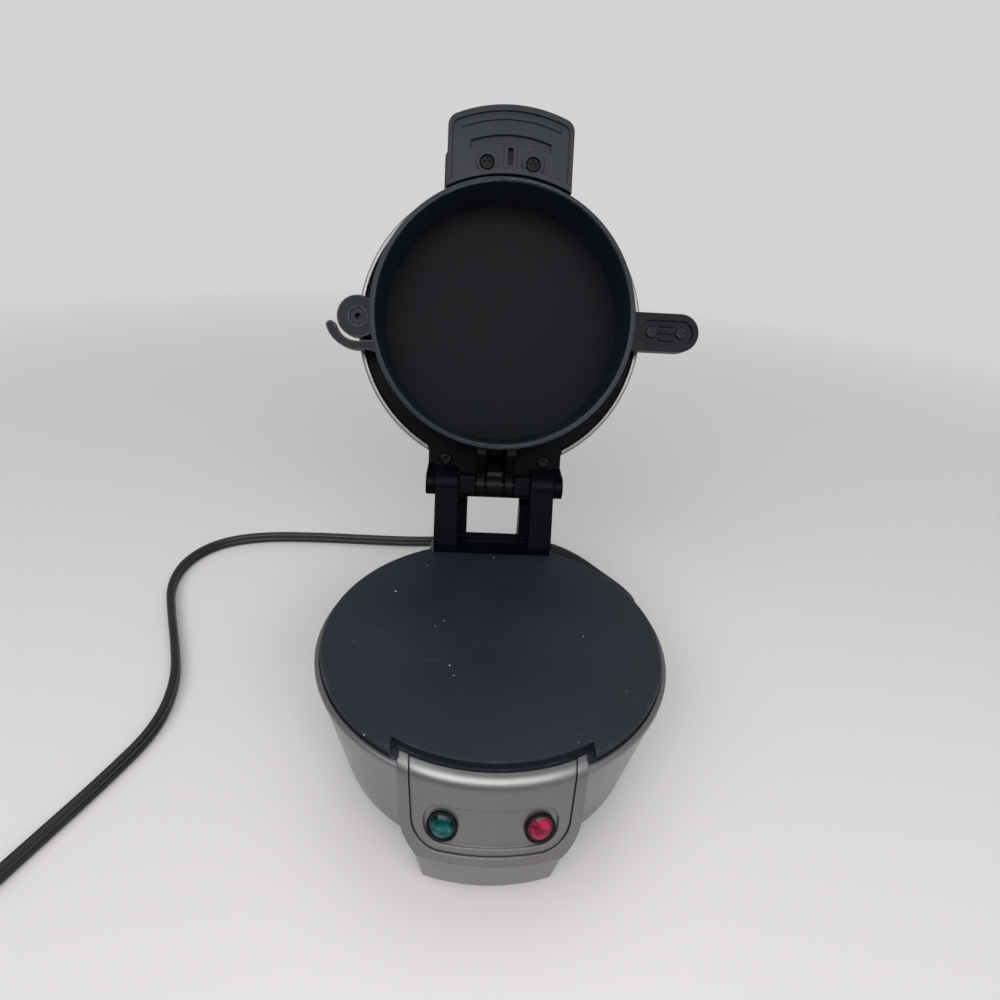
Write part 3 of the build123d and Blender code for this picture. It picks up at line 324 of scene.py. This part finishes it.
def rounded_bump(tree, shader, height, strength, distance, edge):
    """Feeds the shader's normal with soft edges and a fine relief."""
    bevel = tree.nodes.new("ShaderNodeBevel")
    bevel.samples = 4
    bevel.inputs["Radius"].default_value = edge
    bump = tree.nodes.new("ShaderNodeBump")
    bump.inputs["Strength"].default_value = strength
    bump.inputs["Distance"].default_value = distance
    tree.links.new(height, bump.inputs["Height"])
    tree.links.new(bevel.outputs[0], bump.inputs["Normal"])
    tree.links.new(bump.outputs[0], shader.inputs["Normal"])


def silver_paint():
    """Warm grey metallic paint with fine flakes and faint soiling."""
    material, tree, shader = new_material("silver_paint")
    base = tuple(colours().silver)
    coords = object_coords(tree)
    flakes = noise(tree, coords, 5200.0, detail=1.0)
    sparkle = ramp(tree, flakes, *MOST_NOISE)
    soil = noise(tree, coords, 38.0, detail=5.0, roughness=0.6)
    soiled = ramp(tree, soil, 0.45, 0.8, 0.0, 0.35)
    flake_colour = blend_colour(tree, sparkle, shaded(base, 0.86), shaded(base, 1.16))
    tone = blend_colour(tree, soiled, flake_colour, (base[0] * 0.72, base[1] * 0.69, base[2] * 0.66))
    edge_mask = placed(tree, edge_wear_and_highlight_group(), Width=0.0005, Patch_Scale=180.0)
    faded = arithmetic(tree, "MULTIPLY", edge_mask.outputs["Mask"], 0.5)
    final = blend_colour(tree, faded, tone, shaded(base, 1.35))
    tree.links.new(final, shader.inputs["Base Color"])
    shader.inputs["Metallic"].default_value = 0.8
    tree.links.new(ramp(tree, soil, 0.3, 0.75, 0.29, 0.40), shader.inputs["Roughness"])
    shader.inputs["Coat Weight"].default_value = 0.25
    shader.inputs["Coat Roughness"].default_value = 0.22
    rounded_bump(tree, shader, flakes, strength=0.12, distance=0.00008, edge=sizes().edge)
    return material


def black_plastic(name, base, dust_amount, shine):
    """Satin black plastic with a fine moulded grain, dust and paler edges."""
    material, tree, shader = new_material(name)
    grain = placed(tree, grain_group(), Scale=1.0 / sizes().grain)
    dust = placed(tree, dust_group(), Amount=dust_amount, Patch_Scale=70.0)
    edge_mask = placed(tree, edge_wear_and_highlight_group(), Width=0.0005, Patch_Scale=140.0)
    dusty = blend_colour(tree, dust.outputs["Mask"], base, DUST_COLOUR)
    faded = arithmetic(tree, "MULTIPLY", edge_mask.outputs["Mask"], 0.4)
    final = blend_colour(tree, faded, dusty, PALE_EDGE_COLOUR)
    tree.links.new(final, shader.inputs["Base Color"])
    rub = noise(tree, object_coords(tree), 55.0, detail=4.0)
    tree.links.new(ramp(tree, rub, 0.3, 0.7, 0.34, 0.46), shader.inputs["Roughness"])
    shader.inputs["Specular IOR Level"].default_value = shine
    rounded_bump(tree, shader, grain.outputs["Height"], strength=0.16, distance=0.00006, edge=sizes().edge)
    return material


def plate_coating(name, base, rough, scratched, rub, shine):
    """Dark non-stick coating with pale rims, partly wear and partly painted highlight: scratched on open
    plates, with painted shade by the hinge elsewhere.
    """
    material, tree, shader = new_material(name)
    coords = object_coords(tree)
    clouds = noise(tree, coords, 24.0, detail=6.0, roughness=0.6)
    pores = noise(tree, coords, 2300.0, detail=2.0)
    tone = blend_colour(tree, ramp(tree, clouds, *MOST_NOISE), shaded(base, 0.84), shaded(base, 1.18))
    # Pale rims, partly wear and partly painted highlight; on the rings they are wider and cover more of the
    # rim
    width = 0.0007 if scratched else 0.0011
    cover = 0.0 if scratched else 0.22
    edge_mask = placed(tree, edge_wear_and_highlight_group(), Width=width, Patch_Scale=90.0, Cover=cover)
    away = away_from_hinge(tree, coords)
    rubbed_and_lit = arithmetic(tree, "MULTIPLY", edge_mask.outputs["Mask"], away)
    tone = blend_colour(tree, arithmetic(tree, "MULTIPLY", rubbed_and_lit, rub), tone, RUBBED_AND_HIGHLIGHT_COLOUR)
    if scratched:
        scratches = placed(tree, scratch_group(), Amount=0.10)
        tone = blend_colour(tree, scratches.outputs["Mask"], tone, SCRATCH_COLOUR)
        specks = noise(tree, coords, 620.0, detail=0.0)
        crumbs = ramp(tree, specks, 0.874, 0.884)
        tone = blend_colour(tree, arithmetic(tree, "MULTIPLY", crumbs, 0.8), tone, CRUMB_COLOUR)
    else:
        # Painted shade: the coating is darkened to 0.2 close to the hinge, where the lid shades the rings and
        # the cooking plate
        tone = blend_colour(tree, away, shaded(base, 0.2), tone)
    tree.links.new(tone, shader.inputs["Base Color"])
    tree.links.new(ramp(tree, clouds, 0.3, 0.7, rough - 0.05, rough + 0.06), shader.inputs["Roughness"])
    shader.inputs["Specular IOR Level"].default_value = shine
    rounded_bump(tree, shader, pores, strength=0.10, distance=0.00006, edge=0.0009)
    return material


def plain_metal(name, base, rough, streak_scale):
    """Bare metal with faint uneven sheen."""
    material, tree, shader = new_material(name)
    coords = object_coords(tree)
    streaks = noise(tree, coords, streak_scale, detail=4.0)
    tone = blend_colour(tree, ramp(tree, streaks, *MOST_NOISE), shaded(base, 0.7), base)
    tree.links.new(tone, shader.inputs["Base Color"])
    shader.inputs["Metallic"].default_value = 1.0
    tree.links.new(ramp(tree, streaks, 0.3, 0.7, rough - 0.06, rough + 0.1), shader.inputs["Roughness"])
    rounded_bump(tree, shader, streaks, strength=0.08, distance=0.00005, edge=0.0003)
    return material


def dull_surface(name, base, rough, grain_scale, spread=0.25):
    """Fired, moulded or painted matt surface with a little variation."""
    material, tree, shader = new_material(name)
    coords = object_coords(tree)
    clouds = noise(tree, coords, 45.0, detail=4.0)
    fine = noise(tree, coords, grain_scale, detail=2.0)
    cloudy = ramp(tree, clouds, *MOST_NOISE)
    tone = blend_colour(tree, cloudy, shaded(base, 1 - spread), shaded(base, 1 + spread))
    tree.links.new(tone, shader.inputs["Base Color"])
    tree.links.new(ramp(tree, fine, 0.3, 0.7, rough - 0.05, rough + 0.05), shader.inputs["Roughness"])
    rounded_bump(tree, shader, fine, strength=0.15, distance=0.00008, edge=0.0004)
    return material


def lens_plastic(name, base):
    """Clear tinted plastic that looks lit from its depth."""
    material, tree, shader = new_material(name)
    coords = object_coords(tree)
    depth = noise(tree, coords, 330.0, detail=2.0)
    tone = blend_colour(tree, ramp(tree, depth, 0.38, 0.62), shaded(base, 0.45),
                        tuple(min(1.0, c * 1.5 + 0.006) for c in base))
    tree.links.new(tone, shader.inputs["Base Color"])
    tree.links.new(ramp(tree, depth, 0.3, 0.7, 0.17, 0.26), shader.inputs["Roughness"])
    shader.inputs["Specular IOR Level"].default_value = 0.22
    return material


def clear_glass():
    """Thin clear glass with a warm tint."""
    material, tree, shader = new_material("lamp_glass")
    coords = object_coords(tree)
    film = noise(tree, coords, 200.0, detail=2.0)
    tone = blend_colour(tree, film, (0.95, 0.85, 0.7), (1.0, 0.95, 0.88))
    tree.links.new(tone, shader.inputs["Base Color"])
    shader.inputs["Transmission Weight"].default_value = 0.9
    shader.inputs["Roughness"].default_value = 0.05
    return material


def finish_for(slot):
    """The material of a record slot, made once."""
    if slot in bpy.data.materials and bpy.data.materials[slot].get("cooker"):
        return bpy.data.materials[slot]
    palette = colours()
    makers = {
        "silver_paint": silver_paint,
        "black_plastic": lambda: black_plastic(
            "black_plastic", tuple(palette.black), dust_amount=0.02, shine=0.09),
        "dark_coated_aluminium": lambda: plate_coating(
            "ring_coating", tuple(palette.ring), rough=0.40, scratched=False, rub=0.9, shine=0.11),
        "dark_coated_steel": lambda: dull_surface(
            "dark_coated_steel", (0.035, 0.035, 0.038), rough=0.55, grain_scale=900.0),
        "heater_steel": lambda: plain_metal(
            "heater_steel", (0.22, 0.20, 0.19), rough=0.5, streak_scale=220.0),
        "bare_aluminium": lambda: plain_metal(
            "bare_aluminium", (0.72, 0.73, 0.75), rough=0.38, streak_scale=160.0),
        "brown_ceramic": lambda: dull_surface(
            "brown_ceramic", (0.25, 0.14, 0.08), rough=0.6, grain_scale=700.0),
        "white_ceramic": lambda: dull_surface(
            "white_ceramic", (0.8, 0.79, 0.75), rough=0.5, grain_scale=700.0, spread=0.06),
        "screw_steel": lambda: plain_metal(
            "screw_steel", (0.014, 0.0145, 0.016), rough=0.28, streak_scale=420.0),
        "blade_brass": lambda: plain_metal(
            "blade_brass", (0.68, 0.56, 0.33), rough=0.22, streak_scale=300.0),
        "green_lens": lambda: lens_plastic("green_lens", tuple(palette.green)),
        "red_lens": lambda: lens_plastic("red_lens", tuple(palette.red)),
        "lamp_glass": clear_glass,
        "black_rubber": lambda: dull_surface(
            "black_rubber", (0.03, 0.03, 0.03), rough=0.7, grain_scale=800.0),
        "cord_rubber": lambda: dull_surface(
            "cord_rubber", tuple(palette.cord), rough=0.42, grain_scale=1400.0, spread=0.2),
    }
    material = makers[slot]()
    material.name = slot
    material["cooker"] = True
    return material


def wear(obj, material):
    """Puts one material on the whole object."""
    obj.data.materials.clear()
    obj.data.materials.append(material)


# Stage

BACKDROP = (0.665, 0.652, 0.645)
CAMERA_PLACE = (-0.0092, -0.1892, 0.2120)
CAMERA_RIGHT = (0.99833, -0.01708, 0.05518)
CAMERA_UP = (-0.04028, 0.47869, 0.87708)
CAMERA_BACK = (-0.04139, -0.87783, 0.47720)
TABLE_SIZE = 6.0
FADE_NEAR = 0.22
FADE_FAR = 0.95
LAMPS = (
    # name, place, aim, size across, size down, power
    ("key", (-0.75, -0.55, 1.15), (0, 0.05, 0.08), 0.9, 0.9, 3.5),
    ("fill", (0.95, -0.65, 0.75), (0, 0.05, 0.08), 0.9, 0.9, 2.1),
    ("overhead", (0.05, 0.35, 1.25), (0, 0.05, 0.05), 0.9, 0.9, 2.8),
    ("front_strip", (0.0, -0.73, 0.69), (0, -0.06, 0.05), 1.3, 0.42, 8.4),
)
WORLD_COLOUR = (0.90, 0.91, 0.93)
WORLD_IN_FRONT = 0.14
WORLD_BEHIND = 0.38


def far_fade(tree, coords):
    """Lets the far table pass into the backdrop's colour where the camera looks at it."""
    far = ramp(tree, vector_math(tree, "LENGTH", coords), FADE_NEAR, FADE_FAR)
    path = tree.nodes.new("ShaderNodeLightPath")
    shown = arithmetic(tree, "MULTIPLY", far, path.outputs["Is Camera Ray"])
    glow = tree.nodes.new("ShaderNodeEmission")
    glow.inputs["Color"].default_value = (*BACKDROP, 1)
    mix = tree.nodes.new("ShaderNodeMixShader")
    tree.links.new(shown, mix.inputs[0])
    tree.links.new(tree.nodes["Principled BSDF"].outputs[0], mix.inputs[1])
    tree.links.new(glow.outputs[0], mix.inputs[2])
    tree.links.new(mix.outputs[0], tree.nodes["Material Output"].inputs["Surface"])


def place_camera(scene):
    """Sets the camera where the reference view was taken from."""
    data = bpy.data.cameras.new("view")
    data.sensor_width = 36.0
    data.lens = 23.0
    data.clip_start = 0.01
    data.clip_end = 20.0
    camera = bpy.data.objects.new("view", data)
    scene.collection.objects.link(camera)
    turn = Matrix((CAMERA_RIGHT, CAMERA_UP, CAMERA_BACK)).transposed()
    camera.matrix_world = Matrix.Translation(CAMERA_PLACE) @ turn.to_4x4()
    scene.camera = camera


def lay_table():
    """Adds the plain pale table."""
    start_clean()
    bpy.ops.mesh.primitive_plane_add(size=TABLE_SIZE, location=(0, 0, 0))
    table = bpy.context.object
    table.name = "table"
    material, tree, shader = new_material("table")
    coords = object_coords(tree)
    clouds = noise(tree, coords, 3.0, detail=4.0)
    shade = tuple(colours().floor)
    tone = blend_colour(tree, ramp(tree, clouds, *MOST_NOISE), shaded(shade, 0.985), shade)
    tree.links.new(tone, shader.inputs["Base Color"])
    shader.inputs["Roughness"].default_value = 0.35
    shader.inputs["Specular IOR Level"].default_value = 0.35
    far_fade(tree, coords)
    wear(table, material)


def hang_lamps(scene):
    """Hangs the soft lamps, each turned to its aim."""
    for name, place, aim, across, deep, power in LAMPS:
        data = bpy.data.lights.new(name, "AREA")
        data.shape = "RECTANGLE"
        data.size = across
        data.size_y = deep
        data.energy = power
        lamp = bpy.data.objects.new(name, data)
        scene.collection.objects.link(lamp)
        lamp.location = place
        lamp.rotation_euler = (Vector(aim) - Vector(place)).to_track_quat("-Z", "Y").to_euler()


def light_world(scene):
    """Surrounds the stage with soft light, dimmer in front, behind a plain backdrop."""
    world = bpy.data.worlds.new("studio")
    scene.world = world
    world.use_nodes = True
    tree = world.node_tree
    soft = tree.nodes["Background"]
    soft.inputs["Color"].default_value = (*WORLD_COLOUR, 1)
    facing = tree.nodes.new("ShaderNodeSeparateXYZ")
    tree.links.new(object_coords(tree), facing.inputs[0])
    strength = ramp(tree, facing.outputs["Y"], -0.75, 0.15, WORLD_IN_FRONT, WORLD_BEHIND)
    tree.links.new(strength, soft.inputs["Strength"])
    backdrop = tree.nodes.new("ShaderNodeBackground")
    backdrop.inputs["Color"].default_value = (*BACKDROP, 1)
    backdrop.inputs["Strength"].default_value = 1.0
    path = tree.nodes.new("ShaderNodeLightPath")
    seen = arithmetic(tree, "MAXIMUM", path.outputs["Is Camera Ray"], path.outputs["Is Transmission Ray"])
    mix = tree.nodes.new("ShaderNodeMixShader")
    tree.links.new(seen, mix.inputs[0])
    tree.links.new(soft.outputs[0], mix.inputs[1])
    tree.links.new(backdrop.outputs[0], mix.inputs[2])
    tree.links.new(mix.outputs[0], tree.nodes["World Output"].inputs["Surface"])


class COOKER_OT_stage(bpy.types.Operator):
    """Sets up the camera, the pale table, the soft lamps and the world"""
    bl_idname = "cooker.stage"
    bl_label = "Stage"

    def execute(self, context):
        place_camera(context.scene)
        lay_table()
        hang_lamps(context.scene)
        light_world(context.scene)
        context.scene.view_settings.view_transform = "Standard"
        return {"FINISHED"}


# Cord

CORD_ROUTE = [
    (0.0485, 0.062, 0.012), (0.0618, 0.062, 0.012), (0.0734, 0.0696, 0.0082), (0.0779, 0.0829, 0.0046),
    (0.0732, 0.0968, 0.0032), (0.0635, 0.1105, 0.0031), (0.0535, 0.1255, 0.0031), (0.0385, 0.138, 0.0031),
    (0.016, 0.1435, 0.0031), (-0.012, 0.142, 0.0031), (-0.043, 0.138, 0.0031), (-0.076, 0.1385, 0.0031),
    (-0.108, 0.139, 0.0031), (-0.136, 0.137, 0.0031), (-0.157, 0.128, 0.0031), (-0.1675, 0.109, 0.0031),
    (-0.166, 0.086, 0.0031), (-0.156, 0.064, 0.0031), (-0.144, 0.040, 0.0031), (-0.1345, 0.018, 0.0031),
    (-0.1315, -0.007, 0.0031), (-0.140, -0.032, 0.0031), (-0.150, -0.056, 0.0031), (-0.1595, -0.079, 0.0031),
    (-0.166, -0.104, 0.0031)]
COIL_RADIUS = 0.038
COIL_STEP = 0.0034
HOOK_RADIUS = 0.018
STRAIGHT_RUN = 0.006


def coil_route():
    """Points of the put-away turn and of the hook to the plug, with the end of it and its way."""
    here = Vector(CORD_ROUTE[-1])
    way = (here - Vector(CORD_ROUTE[-2])).normalized()
    here = here + way * STRAIGHT_RUN
    points = [tuple(here)]
    # radius, degrees turned, points
    arcs = ((COIL_RADIUS, 180, 8), (COIL_RADIUS - COIL_STEP, 180, 8), (HOOK_RADIUS, 120, 5))
    for radius, turn, count in arcs:
        right = Vector((way.y, -way.x, 0))
        centre = here + right * radius
        step = radians(turn) / count
        for i in range(count):
            angle = -(i + 0.5) * step
            arm = Matrix.Rotation(angle, 3, "Z") @ (-right * radius / cos(step / 2))
            points.append(tuple(centre + arm))
        here = centre + Matrix.Rotation(-radians(turn), 3, "Z") @ (-right * radius)
        way = Matrix.Rotation(-radians(turn), 3, "Z") @ way
    tip = here + way * STRAIGHT_RUN
    points += [tuple(here), tuple(tip)]
    return points, tip, way


def spline_curve(name, points):
    """An open NURBS curve with the points as its control points."""
    data = bpy.data.curves.new(name, "CURVE")
    data.dimensions = "3D"
    data.resolution_u = 8
    data.render_resolution_u = 8
    spline = data.splines.new("NURBS")
    spline.points.add(len(points) - 1)
    for control, point in zip(spline.points, points):
        control.co = (*point, 1.0)
    spline.order_u = 3
    spline.use_endpoint_u = True
    obj = bpy.data.objects.new(name, data)
    bpy.context.scene.collection.objects.link(obj)
    return obj


def cord_path(points):
    """Points along the smooth middle line of the cord."""
    line = spline_curve("cord_line", points)
    bpy.context.view_layer.update()
    graph = bpy.context.evaluated_depsgraph_get()
    mesh = bpy.data.meshes.new_from_object(line.evaluated_get(graph))
    path = [vertex.co.copy() for vertex in mesh.vertices]
    spare = line.data
    bpy.data.objects.remove(line)
    bpy.data.curves.remove(spare)
    bpy.data.meshes.remove(mesh)
    return path


def flat_cord_outline(height, thickness):
    """Section of a flat two-wire cord, as a closed curve: two round cores with a web between."""
    core = thickness / 2
    reach = height / 2 - core
    web = ((core * 0.80, reach * 0.42), (core * 0.58, 0.0), (core * 0.80, -reach * 0.42))
    arc = [radians(12 + 156 * i / 9) for i in range(10)]
    half = [(cos(angle) * core, reach + sin(angle) * core) for angle in arc] + [(-x, y) for x, y in web]
    return half + [(-x, -y) for x, y in half]


def swept(name, path, outline):
    """A closed tube with the outline carried upright along the path."""
    tube = bmesh.new()
    rows = []
    for i, here in enumerate(path):
        before = path[max(i - 1, 0)]
        after = path[min(i + 1, len(path) - 1)]
        along = (after - before).normalized()
        side = along.cross(Vector((0, 0, 1))).normalized()
        rise = side.cross(along).normalized()
        rows.append([tube.verts.new(here + side * x + rise * y) for x, y in outline])
    for first, second in zip(rows, rows[1:]):
        for k in range(len(outline)):
            n = (k + 1) % len(outline)
            tube.faces.new((first[k], first[n], second[n], second[k]))
    tube.faces.new(list(reversed(rows[0])))
    tube.faces.new(rows[-1])
    bmesh.ops.recalc_face_normals(tube, faces=tube.faces)
    data = bpy.data.meshes.new(name)
    tube.to_mesh(data)
    tube.free()
    obj = bpy.data.objects.new(name, data)
    bpy.context.scene.collection.objects.link(obj)
    return obj


class COOKER_OT_cord(bpy.types.Operator):
    """Lays the flat two-wire cord from the boot to the plug, with its put-away turn"""
    bl_idname = "cooker.cord"
    bl_label = "Cord"

    def execute(self, context):
        turns, _, _ = coil_route()
        path = cord_path(CORD_ROUTE + turns)
        cord = swept("cord", path, flat_cord_outline(sizes().cord_height, sizes().cord_thickness))
        only(cord)
        bpy.ops.object.shade_smooth_by_angle(angle=radians(40))
        wear(cord, finish_for("cord_rubber"))
        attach(cord, "base")
        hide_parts("power_cord", "cord_coil")
        return {"FINISHED"}


# Plug

PLUG_CENTRE = 0.0054
PLUG_HEIGHT = 0.0164
PLUG_WIDTH = 0.0116
PLUG_DEPTH = 0.0140
PLUG_FRONT = 0.0180
TAPER_HEIGHT = 0.34
TAPER_WIDTH = 0.30
TAPER_DROP = 0.0020
RIB_PITCH = 0.0024
RIB_DEPTH = 0.00035
RIBS_FROM = 0.0055
RIBS_TO = 0.0145


def rounded(obj, width, segments, angle=radians(30)):
    """Rounds the edges of an object that are sharper than an angle."""
    modifier = obj.modifiers.new("rounding", "BEVEL")
    modifier.width = width
    modifier.segments = segments
    modifier.limit_method = "ANGLE"
    modifier.angle_limit = angle
    only(obj)
    bpy.ops.object.modifier_apply(modifier="rounding")


def plug_grip():
    """The tapered grip with its ribs."""
    start_clean()
    bpy.ops.mesh.primitive_cube_add(size=1.0, location=(PLUG_CENTRE, 0, PLUG_FRONT - PLUG_DEPTH / 2))
    grip = bpy.context.object
    grip.name = "plug"
    grip.scale = (PLUG_HEIGHT, PLUG_WIDTH, PLUG_DEPTH)
    settle(grip)
    bpy.ops.object.mode_set(mode="EDIT")
    bpy.ops.mesh.select_all(action="SELECT")
    bpy.ops.mesh.subdivide(number_cuts=11)
    bpy.ops.object.mode_set(mode="OBJECT")
    for vertex in grip.data.vertices:
        back = (PLUG_FRONT - vertex.co.z) / PLUG_DEPTH
        middle = vertex.co.x - PLUG_CENTRE
        vertex.co.x = PLUG_CENTRE + middle * (1 - TAPER_HEIGHT * back * back) - TAPER_DROP * back * back
        vertex.co.y *= 1 - TAPER_WIDTH * back * back
        rib = RIB_DEPTH * cos(vertex.co.z * 2 * pi / RIB_PITCH)
        if RIBS_FROM < vertex.co.z < RIBS_TO:
            vertex.co.y += rib if vertex.co.y > 0 else -rib
    rounded(grip, width=0.0011, segments=4, angle=radians(50))
    return grip


def plug_neck():
    """The cone that the cord goes into."""
    start_clean()
    bpy.ops.mesh.primitive_cone_add(vertices=32, radius1=0.0030, radius2=0.0044, depth=0.0056,
                                    location=(0.0014, 0, 0.0026))
    neck = bpy.context.object
    settle(neck)
    return neck


def plug_face():
    """The plate that the blades come out of."""
    start_clean()
    bpy.ops.mesh.primitive_cube_add(size=1.0, location=(PLUG_CENTRE, 0, 0.01845))
    face = bpy.context.object
    face.scale = (0.0170, 0.0120, 0.0011)
    settle(face)
    rounded(face, width=0.0004, segments=3)
    return face


class COOKER_OT_plug(bpy.types.Operator):
    """Models the moulded plug with its ribbed grip and its face plate"""
    bl_idname = "cooker.plug"
    bl_label = "Plug"

    def execute(self, context):
        _, tip, way = coil_route()
        up = Vector((0, 0, 1))
        turn = Matrix((up, way.cross(up), way)).transposed()
        plug = plug_grip()
        neck = plug_neck()
        face = plug_face()
        start_clean()
        for piece in (neck, face, plug):
            piece.select_set(True)
        context.view_layer.objects.active = plug
        bpy.ops.object.join()
        bpy.ops.object.shade_smooth_by_angle(angle=radians(35))
        plug.matrix_world = Matrix.Translation(tip) @ turn.to_4x4()
        settle(plug)
        wear(plug, finish_for("cord_rubber"))
        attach(plug, "base")
        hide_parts("plug_body")
        return {"FINISHED"}


# Lenses

CONSOLE_RADIUS = 0.0649
CONSOLE_TOP = 0.0518
CONSOLE_LEAN = radians(18)
PANEL_SINK = 0.0005
LENS_HEIGHT = 0.0348
LENS_SPREAD = 0.01475


def lens_place(side):
    """Turns and moves a piece modelled at the origin onto the console's face."""
    radius = CONSOLE_RADIUS + (CONSOLE_TOP - LENS_HEIGHT) * tan(CONSOLE_LEAN) - PANEL_SINK / cos(CONSOLE_LEAN)
    turn = asin(side * LENS_SPREAD / radius)
    out = Vector((sin(turn) * cos(CONSOLE_LEAN), -cos(turn) * cos(CONSOLE_LEAN), sin(CONSOLE_LEAN)))
    spot = Vector((side * LENS_SPREAD, -radius * cos(turn), LENS_HEIGHT))
    return Matrix.Translation(spot) @ out.to_track_quat("Z", "Y").to_matrix().to_4x4()


def lens_gem(name, wide, place):
    """The stepped clear body of a lens, with its point in the middle."""
    start_clean()
    bpy.ops.mesh.primitive_cylinder_add(vertices=16, radius=wide * 0.94, depth=0.0052,
                                        location=(0, 0, -0.0024), end_fill_type="NGON")
    gem = bpy.context.object
    gem.name = name + "_gem"
    settle(gem)
    bpy.ops.object.mode_set(mode="EDIT")
    mesh = bmesh.from_edit_mesh(gem.data)
    for face in mesh.faces:
        face.select = face.normal.z > 0.9
    bmesh.update_edit_mesh(gem.data)
    bpy.ops.mesh.inset(thickness=wide * 0.26, depth=0.0007)
    bpy.ops.mesh.inset(thickness=wide * 0.30, depth=0.0005)
    bpy.ops.mesh.poke(offset=0.00012)
    bpy.ops.object.mode_set(mode="OBJECT")
    gem.matrix_world = place
    settle(gem)
    return gem


def lens_seat(name, wide, place):
    """The dark ring round a lens."""
    start_clean()
    bpy.ops.mesh.primitive_torus_add(major_segments=64, minor_segments=12, major_radius=wide * 0.985,
                                     minor_radius=0.00042, location=(0, 0, 0.00025))
    seat = bpy.context.object
    seat.name = name + "_seat"
    settle(seat)
    bpy.ops.object.shade_smooth()
    seat.matrix_world = place
    settle(seat)
    return seat


class COOKER_OT_lenses(bpy.types.Operator):
    """Models the two faceted lamp lenses, each in a dark seat ring"""
    bl_idname = "cooker.lenses"
    bl_label = "Lenses"

    def execute(self, context):
        wide = sizes().lens_radius
        palette = colours()
        # The outer faces of each lens get a darker copy of its plastic: painted shade at the lens rim
        edges = {"green_lens": lens_plastic("green_lens_shaded_rim", shaded(palette.green, 0.25)),
                 "red_lens": lens_plastic("red_lens_shaded_rim", shaded(palette.red, 0.30))}
        for side, name, slot in ((-1, "preheat_lens", "green_lens"), (1, "power_lens", "red_lens")):
            place = lens_place(side)
            gem = lens_gem(name, wide, place)
            wear(gem, finish_for(slot))
            gem.data.materials.append(edges[slot])
            for face in gem.data.polygons:
                middle = place.inverted() @ face.center
                face.material_index = 1 if middle.xy.length > wide * 0.60 else 0
            seat = lens_seat(name, wide, place)
            wear(seat, finish_for("black_plastic"))
            for piece in (gem, seat):
                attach(piece, "base")
            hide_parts(name)
        return {"FINISHED"}


# Finishes of the parts that keep their shape

class COOKER_OT_finishes(bpy.types.Operator):
    """Gives every part that keeps its shape its finish"""
    bl_idname = "cooker.finishes"
    bl_label = "Finishes"

    def execute(self, context):
        palette = colours()
        slots = {entry["node"]: entry["material_slot"] for entry in frame["record"]["subparts"]}
        for name, obj in nodes.items():
            wear(obj, finish_for(slots[name]))
        coated = plate_coating("open_plate_coating", tuple(palette.coating), rough=0.46, scratched=True,
                               rub=0.45, shine=0.34)
        # The cooking plate gets the ring coating at 0.46 of its brightness: painted shade inside the ring
        shaded_disc = plate_coating("swinging_plate_shaded_coating", shaded(palette.ring, 0.46), rough=0.48,
                             scratched=False, rub=0.6, shine=0.06)
        # The hinge and the collar get a darker copy of the black plastic: painted shade
        deep = black_plastic("hinge_black_plastic", tuple(palette.hinge_shaded_black), dust_amount=0.01, shine=0.05)
        # The two front handles get a paler copy of the black plastic: partly dust, partly painted sheen
        rubbed_and_lit = black_plastic("grip_black_plastic", tuple(palette.grip_dust_and_sheen_black), dust_amount=0.05, shine=0.24)
        for finish, names in ((coated, ("lower_heating_plate", "upper_heating_plate")),
                              (shaded_disc, ("cooking_plate",)),
                              (deep, ("hinge_bracket", "cover_collar")),
                              (rubbed_and_lit, ("ring_handle", "cover_handle"))):
            for name in names:
                wear(nodes[name], finish)
        return {"FINISHED"}


class COOKER_PT_panel(bpy.types.Panel):
    """Lists the cooker's sizes, colours and pieces"""
    bl_idname = "COOKER_PT_panel"
    bl_label = "Sandwich Cooker"
    bl_space_type = "VIEW_3D"
    bl_region_type = "UI"
    bl_category = "Cooker"

    def draw(self, context):
        layout = self.layout
        for group in (context.scene.cooker_sizes, context.scene.cooker_colours):
            for key in group.__annotations__:
                layout.prop(group, key)
        for operator in OPERATORS:
            layout.operator(operator.bl_idname)


OPERATORS = (COOKER_OT_stage, COOKER_OT_plug, COOKER_OT_cord, COOKER_OT_lenses, COOKER_OT_finishes)
CLASSES = (CookerSizes, CookerColours) + OPERATORS + (COOKER_PT_panel,)


def register():
    for cls in CLASSES:
        bpy.utils.register_class(cls)
    bpy.types.Scene.cooker_sizes = PointerProperty(type=CookerSizes)
    bpy.types.Scene.cooker_colours = PointerProperty(type=CookerColours)


def unregister():
    del bpy.types.Scene.cooker_colours
    del bpy.types.Scene.cooker_sizes
    for cls in reversed(CLASSES):
        bpy.utils.unregister_class(cls)


def main():
    register()
    bpy.ops.cooker.stage()
    bpy.ops.cooker.plug()
    bpy.ops.cooker.cord()
    bpy.ops.cooker.lenses()
    bpy.ops.cooker.finishes()
    bpy.context.view_layer.update()


if __name__ == "__main__":
    main()
